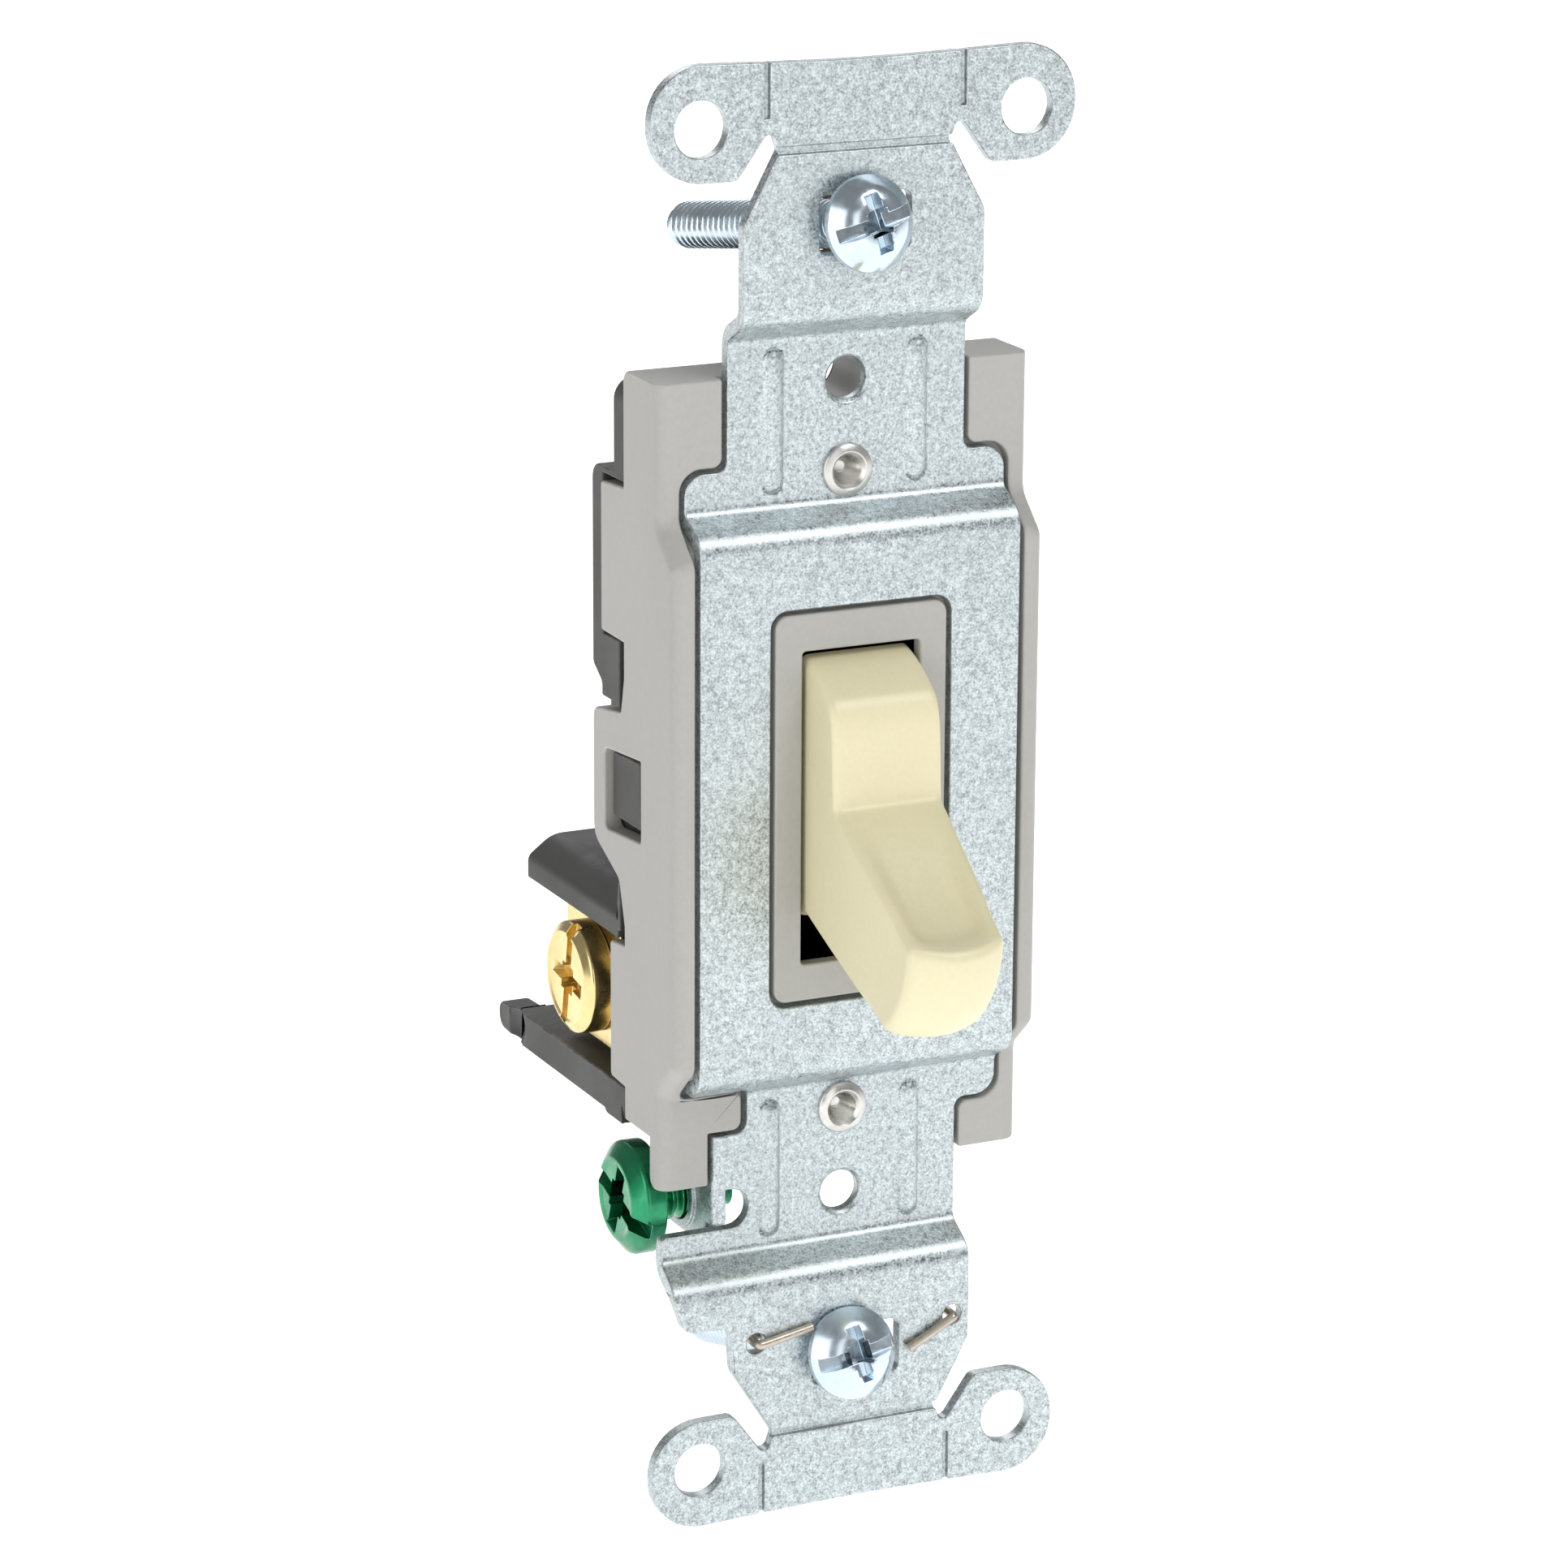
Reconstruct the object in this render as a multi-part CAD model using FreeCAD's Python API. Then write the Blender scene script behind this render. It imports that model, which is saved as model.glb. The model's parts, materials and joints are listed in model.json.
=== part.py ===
"""Single-pole toggle wall switch: steel mounting strap, two-part plastic body, toggle,
over-centre contact arm, screw terminals and captive mounting screws.

Millimetres.  +X is to the right seen from the room, +Y goes into the wall, +Z is up.
The origin is the centre of the wall plane: the rear face of the strap's ears, at the
height of the toggle's pivot.
"""
import FreeCAD, Part
import os
from math import atan2, cos, hypot, radians, sin, tan

# ---------------------------------------------------------------- driving dimensions
# strap
STRAP_T = 1.05            # sheet thickness
STRAP_HALF = 53.2         # half of the 106.4 length over the ears
JOG = 2.7                 # how far the two recessed stretches lie behind the rest
JOG_OUT = 34.6            # mid height of the jog next to the ears
JOG_IN = 20.35            # mid height of the jog next to the middle panel
JOG_RUN = 0.75            # half of a jog's height along Z
BEND_R = (1.9, 0.85)      # outer and inner radius of its bends
NECK_HALF = 9.25          # half width of the narrow stretches
PANEL_HALF = 12.5         # half width of the middle panel
SHOULDER_Z = 24.3         # where the panel's width steps down to the neck
EAR_HALF = 16.25          # half width over the ears
EAR_R = 3.9               # their outer corners
EAR_HOLE = (12.45, 48.87, 2.0)     # x, z, radius
PLATE_SCREW_Z = 30.165    # wall-plate screws, 60.33 apart
PLATE_SCREW_R = 1.5       # tapped hole, minor radius
BOX_SCREW_Z = 41.67       # box screws, 83.34 apart
EYELET_Z = 23.8
SCORE_X = 7.5             # break-off grooves of the ears
SCORE_Z = 47.0            # break-off groove above the end tab
EAR_SCORE_END = 49.3      # the ears' grooves stop just short of the notch
END_R = 220.0             # slight hollow of the strap's two end edges
GROUND_Y, GROUND_Z = 7.3, -30.3    # axis of the ground screw
TAB_X = (-10.25, -9.2)    # the ground tab, bent back square to the strap

# plastic body
BODY_HALF = 14.45         # half width of the cover
COVER_TOP, COVER_BOTTOM = 30.9, -28.2
RIM = 0.36                # gap between strap and cover
WALL = 1.4
SCREW_TUBE_R = 2.9        # moulded tube behind the upper wall-plate screw
COVER_BACK = 7.85         # rear edge of the cover's side wall
FOOT_BACK = 3.5           # rear face of its thin lower end
BASE_HALF = 14.2
BASE_TOP, BASE_BOTTOM = 29.9, -25.3
BOX_HALF = 8.4            # deep middle box of the base
BOX_TOP = 19.5
BOX_BACK = 24.0
CAVITY_HALF = 6.2
COLLAR = (6.7, 14.2)      # outer half width and half height
COLLAR_HOLE = (4.6, 11.5)

# toggle: pivot, lever and hub
PIVOT_Y = 3.0
THROW = 29.0              # degrees each side of straight out
HUB_R = 11.6
TOGGLE_HALF = 4.25
TRUNNION_R = 1.9
RUNNING = 0.05            # radial clearance of every turning fit

# contact arm
ARM_Y = 19.4              # pivot
ARM_TILT = 13.0
ARM_LEN = 6.5
ARM_PIN_R = 0.8
NOSE = 5.3                # pivot to the knob at the toggle's inner end
KNOB_R = 0.75

# terminals
TERM_Y, TERM_Z = 17.4, -16.5       # axis of a terminal screw
TERM_PLATE_X = (10.2, 11.3)
CLAMP_X = (11.6, 12.7)
TERM_HEAD_R, TERM_HEAD_T = 4.2, 2.25
SHANK_8_32 = 2.08
SHANK_6_32 = 1.75
BOX_SHANK = 26.4          # length of a box screw under its head
BOX_NECK = (1.4, 7.4)     # radius and length of the relieved neck under it
TOP_HANG = (-0.6, 41.42, 2.1, -4.5, 9.3)        # upper box screw as it hangs in its slot: x and z
BOTTOM_HANG = (-0.9, -41.77, 2.0, 0.0, 14.0)    # of its axis, stand-off, degrees to the right and down
RETAINER = (4.0, 2.6)     # washer behind the strap: distance and radius
CLIP_R = 0.33             # earthing spring wire of the lower box screw
CLIP_HOLES = [(-8.0, -39.8), (7.9, -40.1)]

FAR = 80.0                # beyond every edge of the part


# ---------------------------------------------------------------- small helpers
def vec(x, y, z):
    return FreeCAD.Vector(x, y, z)


def box(x, y, z):
    """Axis-aligned block from three (low, high) pairs."""
    return Part.makeBox(x[1] - x[0], y[1] - y[0], z[1] - z[0], vec(x[0], y[0], z[0]))


def rod(r, start, end):
    """Round bar between two points."""
    a, b = vec(*start), vec(*end)
    return Part.makeCylinder(r, (b - a).Length, a, b - a)


def outline(corners, place):
    """Face from (a, b, radius) corners in a plane; place(a, b) gives the 3-D point."""
    pts = [(a, b) for a, b, _ in corners]
    n = len(pts)
    edges, ends = [], []
    for i, (a, b, r) in enumerate(corners):
        (pa, pb), (na, nb) = pts[i - 1], pts[(i + 1) % n]
        ua, ub = pa - a, pb - b
        va, vb = na - a, nb - b
        lu, lv = hypot(ua, ub), hypot(va, vb)
        ua, ub, va, vb = ua / lu, ub / lu, va / lv, vb / lv
        if r <= 0:
            ends.append(((a, b), (a, b), None))
            continue
        half = abs(atan2(ua * vb - ub * va, ua * va + ub * vb)) / 2
        back = r / tan(half)
        ma, mb = ua + va, ub + vb
        lm = hypot(ma, mb)
        reach = r / sin(half) - r
        mid = (a + ma / lm * reach, b + mb / lm * reach)
        ends.append(((a + ua * back, b + ub * back), (a + va * back, b + vb * back), mid))
    for i, (start, stop, mid) in enumerate(ends):
        if mid:
            edges.append(Part.Arc(place(*start), place(*mid), place(*stop)).toShape())
        following = ends[(i + 1) % n][0]
        if hypot(following[0] - stop[0], following[1] - stop[1]) > 1e-6:
            edges.append(Part.makeLine(place(*stop), place(*following)))
    return Part.Face(Part.Wire(edges))


def plate(corners, y):
    """Solid with an XZ outline between two depths."""
    face = outline(corners, lambda x, z: vec(x, y[0], z))
    return face.extrude(vec(0, y[1] - y[0], 0))


def slab(corners, x):
    """Solid with a YZ outline between two widths."""
    face = outline(corners, lambda b, c: vec(x[0], b, c))
    return face.extrude(vec(x[1] - x[0], 0, 0))


def block(x, z, y, r):
    """Plate with a rectangular outline and rounded corners."""
    return plate([(x[0], z[0], r), (x[1], z[0], r), (x[1], z[1], r), (x[0], z[1], r)], y)


def turned(corners, origin, axis):
    """Solid of revolution from (radius, height) corners about an axis."""
    face = outline(corners, lambda r, h: vec(r, 0, h))
    solid = face.revolve(vec(0, 0, 0), vec(0, 0, 1), 360)
    solid.Placement = FreeCAD.Placement(vec(*origin), FreeCAD.Rotation(vec(0, 0, 1), vec(*axis)))
    return solid


def mirrored(shape):
    return shape.mirror(vec(0, 0, 0), vec(1, 0, 0))


def fused(first, *others):
    return first.fuse(list(others)).removeSplitter()


def cut(shape, *tools):
    return shape.cut(list(tools))


def turn_x(shape, angle, y, z):
    """Turn a shape about an axis parallel to X; a positive angle lifts the room side."""
    shape.rotate(vec(0, y, z), vec(-1, 0, 0), angle)
    return shape


# ---------------------------------------------------------------- strap
def strap_side(front, grow):
    """YZ corners of the strap's bent surface from foot to top, front or rear face."""
    y_out = -STRAP_T if front else 0.0
    y_in = y_out + JOG
    lift = 0.35 if front else -0.35
    out_r, in_r = BEND_R if front else BEND_R[::-1]
    turns = [(y_out, FAR, 0)]
    turns += [(y_out, JOG_OUT + JOG_RUN - lift, out_r), (y_in, JOG_OUT - JOG_RUN - lift, in_r)]
    turns += [(y_in, JOG_IN + JOG_RUN + lift, in_r), (y_out, JOG_IN - JOG_RUN + lift, out_r)]
    turns = [(y + grow, z, r) for y, z, r in turns]
    return [(y, -z, r) for y, z, r in turns] + [(y, z, r) for y, z, r in reversed(turns)]


def strap_edge():
    """XZ corners of one right-hand half edge, from the middle outwards."""
    return [(PANEL_HALF, SHOULDER_Z, 1.6), (NECK_HALF, SHOULDER_Z, 0.8),
            (NECK_HALF, 42.0, 1.5), (6.55, 47.0, 0.4), (7.15, 48.75, 0.5), (9.75, 45.15, 0.8),
            (EAR_HALF, 45.15, EAR_R), (EAR_HALF, 53.4, EAR_R)]


def strap():
    """Bent steel strap with break-off ears, ribs and the bent-back ground tab."""
    sheet = slab(strap_side(True, 0) + strap_side(False, 0)[::-1], (-20, 20))
    right = strap_edge()
    top = right + [(0, STRAP_HALF - 0.3, END_R)] + [(-x, z, r) for x, z, r in reversed(right)]
    foot = [(0, -STRAP_HALF + 0.3, END_R)] + [(x, -z, r) for x, z, r in reversed(right)]
    low_left = [(-EAR_HALF, -53.4, EAR_R), (-EAR_HALF, -45.15, EAR_R), (-9.75, -45.15, 0.8),
                (-7.15, -48.75, 0.5), (-6.55, -47.0, 0.4), (-9.9, -41.7, 1.2),
                (-10.1, -38.3, 0.8), (-13.6, -38.2, 1.0), (-14.5, -35.6, 2.0),
                (-14.25, -31.7, 0.4), (-7.4, -31.7, 1.45), (-7.4, -28.75, 1.4),
                (TAB_X[1], -28.75, 0), (TAB_X[1], -24.55, 0), (-7.55, -24.55, 0.9),
                (-7.55, -21.05, 0.9), (-PANEL_HALF, -21.05, 0.5)]
    body = sheet.common(plate(top + low_left[::-1] + foot, (-5, 5)))

    holes = [rod(EAR_HOLE[2], (sx * EAR_HOLE[0], -3, sz * EAR_HOLE[1]),
                 (sx * EAR_HOLE[0], 3, sz * EAR_HOLE[1])) for sx in (-1, 1) for sz in (-1, 1)]
    for side in (-1, 1):
        holes.append(rod(PLATE_SCREW_R, (0, 0, side * PLATE_SCREW_Z), (0, 5, side * PLATE_SCREW_Z)))
        holes.append(turned([(0, 0, 0), (PLATE_SCREW_R + 0.28, 0, 0), (PLATE_SCREW_R, 0.28, 0), (0, 0.28, 0)],
                            (0, JOG - STRAP_T, side * PLATE_SCREW_Z), (0, 1, 0)))
        holes.append(rod(1.5, (0, 0, side * EYELET_Z), (0, 5, side * EYELET_Z)))
        centre = side * BOX_SCREW_Z
        holes.append(block((-3.5, 3.5), (centre - 2.05, centre + 2.05), (-3, 3), 0.6))
    for x, z in CLIP_HOLES:
        holes.append(rod(0.75, (x, -3, z), (x, 3, z)))
    holes.append(block((-COLLAR[0] - RIM, COLLAR[0] + RIM), (-COLLAR[1] - RIM, COLLAR[1] + RIM),
                       (-3, 3), 1.3))
    for side in (-1, 1):
        for x in (-SCORE_X, SCORE_X):
            run = sorted((side * EAR_SCORE_END, side * (STRAP_HALF + 1)))
            holes.append(box((x - 0.2, x + 0.2), (-STRAP_T - 1, -STRAP_T + 0.4), run))
            holes.append(box((x - 0.2, x + 0.2), (-0.25, 1), run))
        holes.append(box((-7, 7), (-STRAP_T - 1, -STRAP_T + 0.4),
                         (side * SCORE_Z - 0.28, side * SCORE_Z + 0.28)))
    body = cut(body, *holes)

    ribs = []
    for x in (-5.8, 5.4):
        for side in (-1, 1):
            ends = [(x, JOG - STRAP_T + 0.55, side * z) for z in (23.2, 31.9)]
            ribs += [rod(1.0, *ends)] + [Part.makeSphere(1.0, vec(*end)) for end in ends]
    keep = box((-9, 9), (JOG - STRAP_T - 1, JOG - STRAP_T + 0.5), (-40, 40))
    body = fused(body, *[rib.common(keep) for rib in ribs])
    return fused(body, ground_tab())


def ground_tab():
    """Tab bent back from the strap's left edge, tapped for the ground screw."""
    front = JOG - STRAP_T
    corners = [(front, -28.75, 0), (front, -31.4, 0.3), (3.1, -31.4, 0), (3.1, -33.4, 0.4),
               (10.9, -33.4, 2.0), (10.9, -27.0, 2.0), (4.2, -26.6, 0.8), (JOG, -24.6, 0),
               (front, -24.6, 0)]
    tab = slab(corners, TAB_X)
    outer = cut(box((TAB_X[0] - 0.1, TAB_X[0] + 0.5), (front - 0.1, front + 0.5), (-35, -24)),
                rod(0.5, (TAB_X[0] + 0.5, front + 0.5, -36), (TAB_X[0] + 0.5, front + 0.5, -23)))
    bore = rod(SHANK_8_32 + RUNNING, (-14, GROUND_Y, GROUND_Z), (-7, GROUND_Y, GROUND_Z))
    lip = rod(SHANK_8_32 + 0.7, (TAB_X[0] - 0.35, GROUND_Y, GROUND_Z), (TAB_X[1], GROUND_Y, GROUND_Z))
    return cut(fused(cut(tab, outer), lip), bore)


# ---------------------------------------------------------------- cover
def cover_front(lift):
    """YZ corners of the cover's front skin; lift moves it towards the wall."""
    out_y, in_y = -STRAP_T + lift, JOG - STRAP_T + lift
    high = [(in_y, FAR, 0), (in_y, JOG_IN + 0.6, 1.2), (out_y, JOG_IN - 1.9, 1.2)]
    return [(y, -z, r) for y, z, r in high] + [(y, z, r) for y, z, r in reversed(high)]


def cover_side():
    """YZ corners of the side wall with its flaps and latch arm, from the foot up."""
    return [(FOOT_BACK, COVER_BOTTOM, 0.9), (FOOT_BACK, -24.5, 0), (5.5, -24.5, 0.5), (7.45, -23.6, 0.6),
            (7.45, -22.1, 0), (10.4, -21.9, 0.4), (10.4, -11.6, 0.3), (7.45, -11.3, 0.3),
            (8.8, -6.6, 1.0), (13.3, -4.4, 1.6), (13.3, 5.2, 0.8), (8.4, 5.9, 0.3),
            (7.3, 11.1, 0.3), (11.8, 11.2, 0.3), (11.8, 22.1, 0.3), (COVER_BACK, 22.4, 0.2),
            (COVER_BACK, COVER_TOP, 1.6)]


def strap_bed():
    """Room cut out of the cover for the strap, a little wider than the strap."""
    wide, neck = PANEL_HALF + RIM, NECK_HALF + RIM
    corners = [(wide, SHOULDER_Z + RIM, 1.7), (neck, SHOULDER_Z + RIM, 0.7), (neck, FAR, 0),
               (-neck, FAR, 0), (-neck, SHOULDER_Z + RIM, 0.7), (-wide, SHOULDER_Z + RIM, 1.7),
               (-wide, -21.35, 0.6), (-8.0, -21.35, 0.7), (-8.0, -24.25, 0.7), (-10.55, -24.25, 0.3),
               (-10.55, -FAR, 0), (neck, -FAR, 0), (neck, -SHOULDER_Z - RIM, 0.7),
               (wide, -SHOULDER_Z - RIM, 1.7)]
    reach = plate(corners, (-5, 5))
    behind = strap_side(False, 0.02) + [(-9, FAR, 0), (-9, -FAR, 0)]
    return reach.common(slab(behind, (-20, 20)))


def cover():
    """Light front half of the body: collar, rims round the strap, flaps and latch arms."""
    profile = cover_front(0) + [(COVER_BACK, FAR, 0), (COVER_BACK, -FAR, 0)]
    shell = slab(profile, (-BODY_HALF, BODY_HALF))
    inner_x = BODY_HALF - WALL
    shell = shell.common(slab([(-3, COVER_BOTTOM, 0.9), (FOOT_BACK, COVER_BOTTOM, 0.9),
                               (FOOT_BACK, -24.5, 0), (COVER_BACK, -24.5, 0), (COVER_BACK, COVER_TOP, 1.0),
                               (-3, COVER_TOP, 1.0)], (-20, 20)))
    front_edges = [e for e in shell.Edges if is_front_corner(e)]
    shell = shell.makeFillet(1.1, front_edges)
    hollow = slab(cover_front(STRAP_T + WALL) + [(30, FAR, 0), (30, -FAR, 0)], (-inner_x, inner_x))
    hollow = hollow.common(box((-20, 20), (-5, 30), (-24.5 + WALL, COVER_TOP - WALL)))
    collar = block((-COLLAR[0], COLLAR[0]), (-COLLAR[1], COLLAR[1]), (-STRAP_T, 1.0), 1.0)
    hole = block((-COLLAR_HOLE[0], COLLAR_HOLE[0]), (-COLLAR_HOLE[1], COLLAR_HOLE[1]), (-3, 5), 0.3)
    shell = fused(cut(shell, hollow, strap_bed()), collar)

    flap = slab(cover_side() + [(3.0, COVER_TOP, 1.0), (3.0, COVER_BOTTOM, 0)], (-BODY_HALF, -inner_x))
    flap = flap.common(box((-20, 20), (4.2, 30), (-24.5, COVER_TOP - 1.5)))
    shell = fused(shell, flap, mirrored(flap))
    window = slab([(4.95, -2.9, 0.3), (11.3, -3.4, 0.6), (11.3, 2.6, 0.6), (4.95, 3.1, 0.1)], (-20, 20))
    corner_cut = box((-20, 20), (COVER_BACK - 0.02, 20), (22.4, 40))

    lugs = [box(x, (0.9, PIVOT_Y - 0.05), (-3.2, 3.2)) for x in ((4.75, 6.7), (-6.7, -4.75))]
    shell = fused(shell, *lugs)
    bearing = rod(TRUNNION_R + RUNNING, (-7, PIVOT_Y, 0), (7, PIVOT_Y, 0))
    eyelet_holes = [rod(1.5, (0, 0, s * EYELET_Z), (0, 9, s * EYELET_Z)) for s in (-1, 1)]
    tube = rod(SCREW_TUBE_R, (0, 3, PLATE_SCREW_Z), (0, 9, PLATE_SCREW_Z))
    shell = fused(shell, tube.common(box((-5, 5), (0, 10), (20, COVER_TOP))))
    screw_room = rod(1.9, (0, 1, PLATE_SCREW_Z), (0, 12, PLATE_SCREW_Z))
    tab_room = box((TAB_X[0] - RIM, TAB_X[1] + RIM), (0, 12), (-40, -24.25))
    hub_room = box((-4.9, 4.9), (0.1, 4), (-12.3, 12.3))
    return cut(shell, hole, window, corner_cut, bearing, screw_room, tab_room, hub_room, *eyelet_holes)


def is_front_corner(edge):
    """True for the long outer front edges down the two sides of the cover."""
    b = edge.BoundBox
    at_side = abs(abs(b.XMin) - BODY_HALF) < 1e-6 and b.XLength < 1e-6
    return at_side and b.YMax < JOG - STRAP_T + 0.01 and edge.Length > 0.2


# ---------------------------------------------------------------- base
def base():
    """Dark rear half of the body: stepped shell, deep box, barriers and terminal pockets."""
    seam = COVER_BACK + 0.05
    rim = block((-BASE_HALF, BASE_HALF), (BASE_BOTTOM, BASE_TOP), (seam, 10.1), 1.6)
    wide = slab([(9.0, BASE_BOTTOM, 0), (12.3, BASE_BOTTOM, 0.8), (12.3, 7.2, 0.6), (13.9, 8.3, 0.6),
                 (13.9, 23.1, 1.2), (9.0, 23.1, 0)], (-BASE_HALF, BASE_HALF))
    bosses = [box((-4, 4), (seam, 13.9), sorted((side * 20, side * 26.8))) for side in (-1, 1)]
    deep = box((-BOX_HALF, BOX_HALF), (9, BOX_BACK), (BASE_BOTTOM, BOX_TOP))
    plug = box((-BODY_HALF + WALL + 0.2, BODY_HALF - WALL - 0.2), (4.6, 9), (-22.5, 29.0))
    body = fused(rim, wide, deep, plug, *bosses)

    pocket = box((-BASE_HALF - 1, -TERM_PLATE_X[0] + 0.05), (9.6, 40), (-22.3, -7.0))
    sides = []
    for x0, x1, y0, y1, z0, z1 in ((12.85, 20, 2, 12.05, 10.9, 22.6), (12.85, 20, 2, 13.6, -7.0, 6.2),
                                   (12.85, 20, 2, 10.8, -22.3, -10.7), (12.85, 20, 2, 9.2, -11.5, 12.0)):
        recess = box((x0, x1), (y0, y1), (z0, z1))
        sides += [recess, mirrored(recess)]
    cavity = box((-CAVITY_HALF, CAVITY_HALF), (4, 22.4), (-18.6, 18.0))
    mouth = box((-11.5, 11.5), (4, 8.6), (-18.6, 18.0))
    notch = box((-3.2, 3.2), (13.9, 30), (-30, -20.2))
    body = cut(body, pocket, mirrored(pocket), cavity, mouth, notch, *sides)

    catch = slab([(6.2, -2.4, 0.2), (11.0, -2.4, 0.2), (11.0, 2.3, 0.2), (6.2, 2.6, 0.2)], (12.0, 13.9))
    wings = barrier()
    posts = box((4.75, 7.0), (PIVOT_Y + 0.05, 11.8), (-3.2, 3.2))
    body = fused(body, catch, mirrored(catch), wings, mirrored(wings), posts, mirrored(posts))

    bores = [rod(TRUNNION_R + RUNNING, (-6.75, PIVOT_Y, 0), (6.75, PIVOT_Y, 0))]
    bores += [rod(1.5, (0, 2, s * EYELET_Z), (0, 20, s * EYELET_Z)) for s in (-1, 1)]
    bores.append(rod(SCREW_TUBE_R + 0.1, (0, 2, PLATE_SCREW_Z), (0, 12, PLATE_SCREW_Z)))
    bores += [rod(2.4, (s * 6.6, TERM_Y, TERM_Z), (s * 12, TERM_Y, TERM_Z)) for s in (-1, 1)]
    line_slot = box((-11.0, -5.0), (21.1, 22.4), (-18.6, -12.9))
    load_slot = box((5.0, 11.0), (12.1, 13.4), (-18.6, -12.9))
    return cut(body, line_slot, load_slot, *bores)


def barrier():
    """The walls beside the left terminal: a wedge above, a rail ending in a dimpled thumb below."""
    x = (-BASE_HALF, -BOX_HALF + 0.5)
    upper = plate([(x[0], -11.3, 0.2), (x[1], -11.3, 0), (x[1], -8.1, 0), (-12.2, -8.1, 2.4),
                   (x[0], -9.6, 0.9)], (9.6, 26.3))
    lower = box(x, (9.6, 28.5), (-25.0, -22.3))
    thumb = slab([(26.0, -25.0, 0), (32.0, -24.6, 1.0), (32.2, -22.6, 0.9), (26.0, -22.3, 0)],
                 (-BASE_HALF, -12.0))
    dimple = Part.makeSphere(2.6, vec(-16.2, 28.6, -23.6))
    return fused(upper, cut(fused(lower, thumb), dimple))


# ---------------------------------------------------------------- toggle
def toggle():
    """Ivory lever on a round hub with trunnions; built straight out, then turned down."""
    root_y, flank_y = PIVOT_Y - 6.9, PIVOT_Y - 3.48
    tip_y = PIVOT_Y - 22.1
    top = [(root_y, 5.15, 1.2), (tip_y + 0.3, 4.05, 1.4), (tip_y, 0, 0)]
    lever = [(flank_y, 10.6, 0)] + top
    lever += [(y, -z, r) for y, z, r in reversed(lever[:-1])]
    shape = slab(lever, (-TOGGLE_HALF, TOGGLE_HALF))
    hub = rod(HUB_R, (-TOGGLE_HALF, PIVOT_Y, 0), (TOGGLE_HALF, PIVOT_Y, 0))
    room = box((-9, 9), (flank_y, PIVOT_Y + 3.2), (-20, 20))
    shape = fused(shape, hub.common(room))
    taper = plan_taper(tip_y)
    shape = shape.common(taper)
    pocket = box((-2.8, 2.8), (PIVOT_Y - 2.2, PIVOT_Y + 9), (-10.0, 10.0))
    nose = slab([(PIVOT_Y - 5, -2.4, 0), (PIVOT_Y + NOSE - 0.6, -1.2, 0.3),
                 (PIVOT_Y + NOSE - 0.6, 1.2, 0.3), (PIVOT_Y - 5, 2.4, 0)], (-1.7, 1.7))
    seat = Part.makeSphere(KNOB_R, vec(0, PIVOT_Y + NOSE, 0))
    pins = rod(TRUNNION_R, (-6.5, PIVOT_Y, 0), (6.5, PIVOT_Y, 0))
    web = box((-4, 4), (PIVOT_Y - 4.6, PIVOT_Y + 1.9), (-2.4, 2.4))
    shape = fused(cut(shape, pocket), nose, seat, pins, web)
    return turn_x(shape, -THROW, PIVOT_Y, 0)


def plan_taper(tip_y):
    """XY prism that narrows the lever to its tip and rounds the tip's corners."""
    half, tip = TOGGLE_HALF, 3.6
    corners = [(half, PIVOT_Y + 12, 0), (half, PIVOT_Y - 7.5, 4.0), (tip, tip_y, 1.2),
               (-tip, tip_y, 1.2), (-half, PIVOT_Y - 7.5, 4.0), (-half, PIVOT_Y + 12, 0)]
    return outline(corners, lambda x, y: vec(x, y, -20)).extrude(vec(0, 0, 40))


# ---------------------------------------------------------------- switch works
def contact_arm():
    """Brass arm that rocks on its pin, with a knob that locates the spring."""
    end = ARM_Y - ARM_LEN
    blade = box((-2.0, 2.0), (end, ARM_Y), (-0.5, 0.5))
    barrel = rod(1.4, (-2.0, ARM_Y, 0), (2.0, ARM_Y, 0))
    pin = rod(ARM_PIN_R, (-3.3, ARM_Y, 0), (3.3, ARM_Y, 0))
    knob = Part.makeSphere(KNOB_R, vec(0, end - 0.5, 0))
    return turn_x(fused(blade, barrel, pin, knob), -ARM_TILT, ARM_Y, 0)


def moving_contact():
    """Silver button on the arm's upper side."""
    button = turned([(0, 0, 0), (1.4, 0, 0), (1.4, 0.65, 0.3), (0, 0.85, 0)],
                    (0, ARM_Y - 4.7, 0.5), (0, 0, 1))
    return turn_x(button, -ARM_TILT, ARM_Y, 0)


def fixed_contact():
    """Silver button under the load terminal's tongue."""
    return turned([(0, 0, 0), (1.4, 0, 0), (1.4, 0.65, 0.3), (0, 0.85, 0)], (0, 15.1, 3.55), (0, 0, -1))


def toggle_spring():
    """Plain sleeve in place of the compression spring between toggle and arm."""
    swing, tilt = radians(THROW), radians(ARM_TILT)
    nose = vec(0, PIVOT_Y + NOSE * cos(swing), NOSE * sin(swing))
    reach = ARM_LEN + 0.5
    knob = vec(0, ARM_Y - reach * cos(tilt), -reach * sin(tilt))
    inset = (knob - nose).normalize() * 0.95
    a, along = nose + inset, knob - nose - inset * 2
    sleeve = Part.makeCylinder(1.35, along.Length, a, along)
    return sleeve.cut(Part.makeCylinder(0.85, along.Length, a, along))


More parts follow.
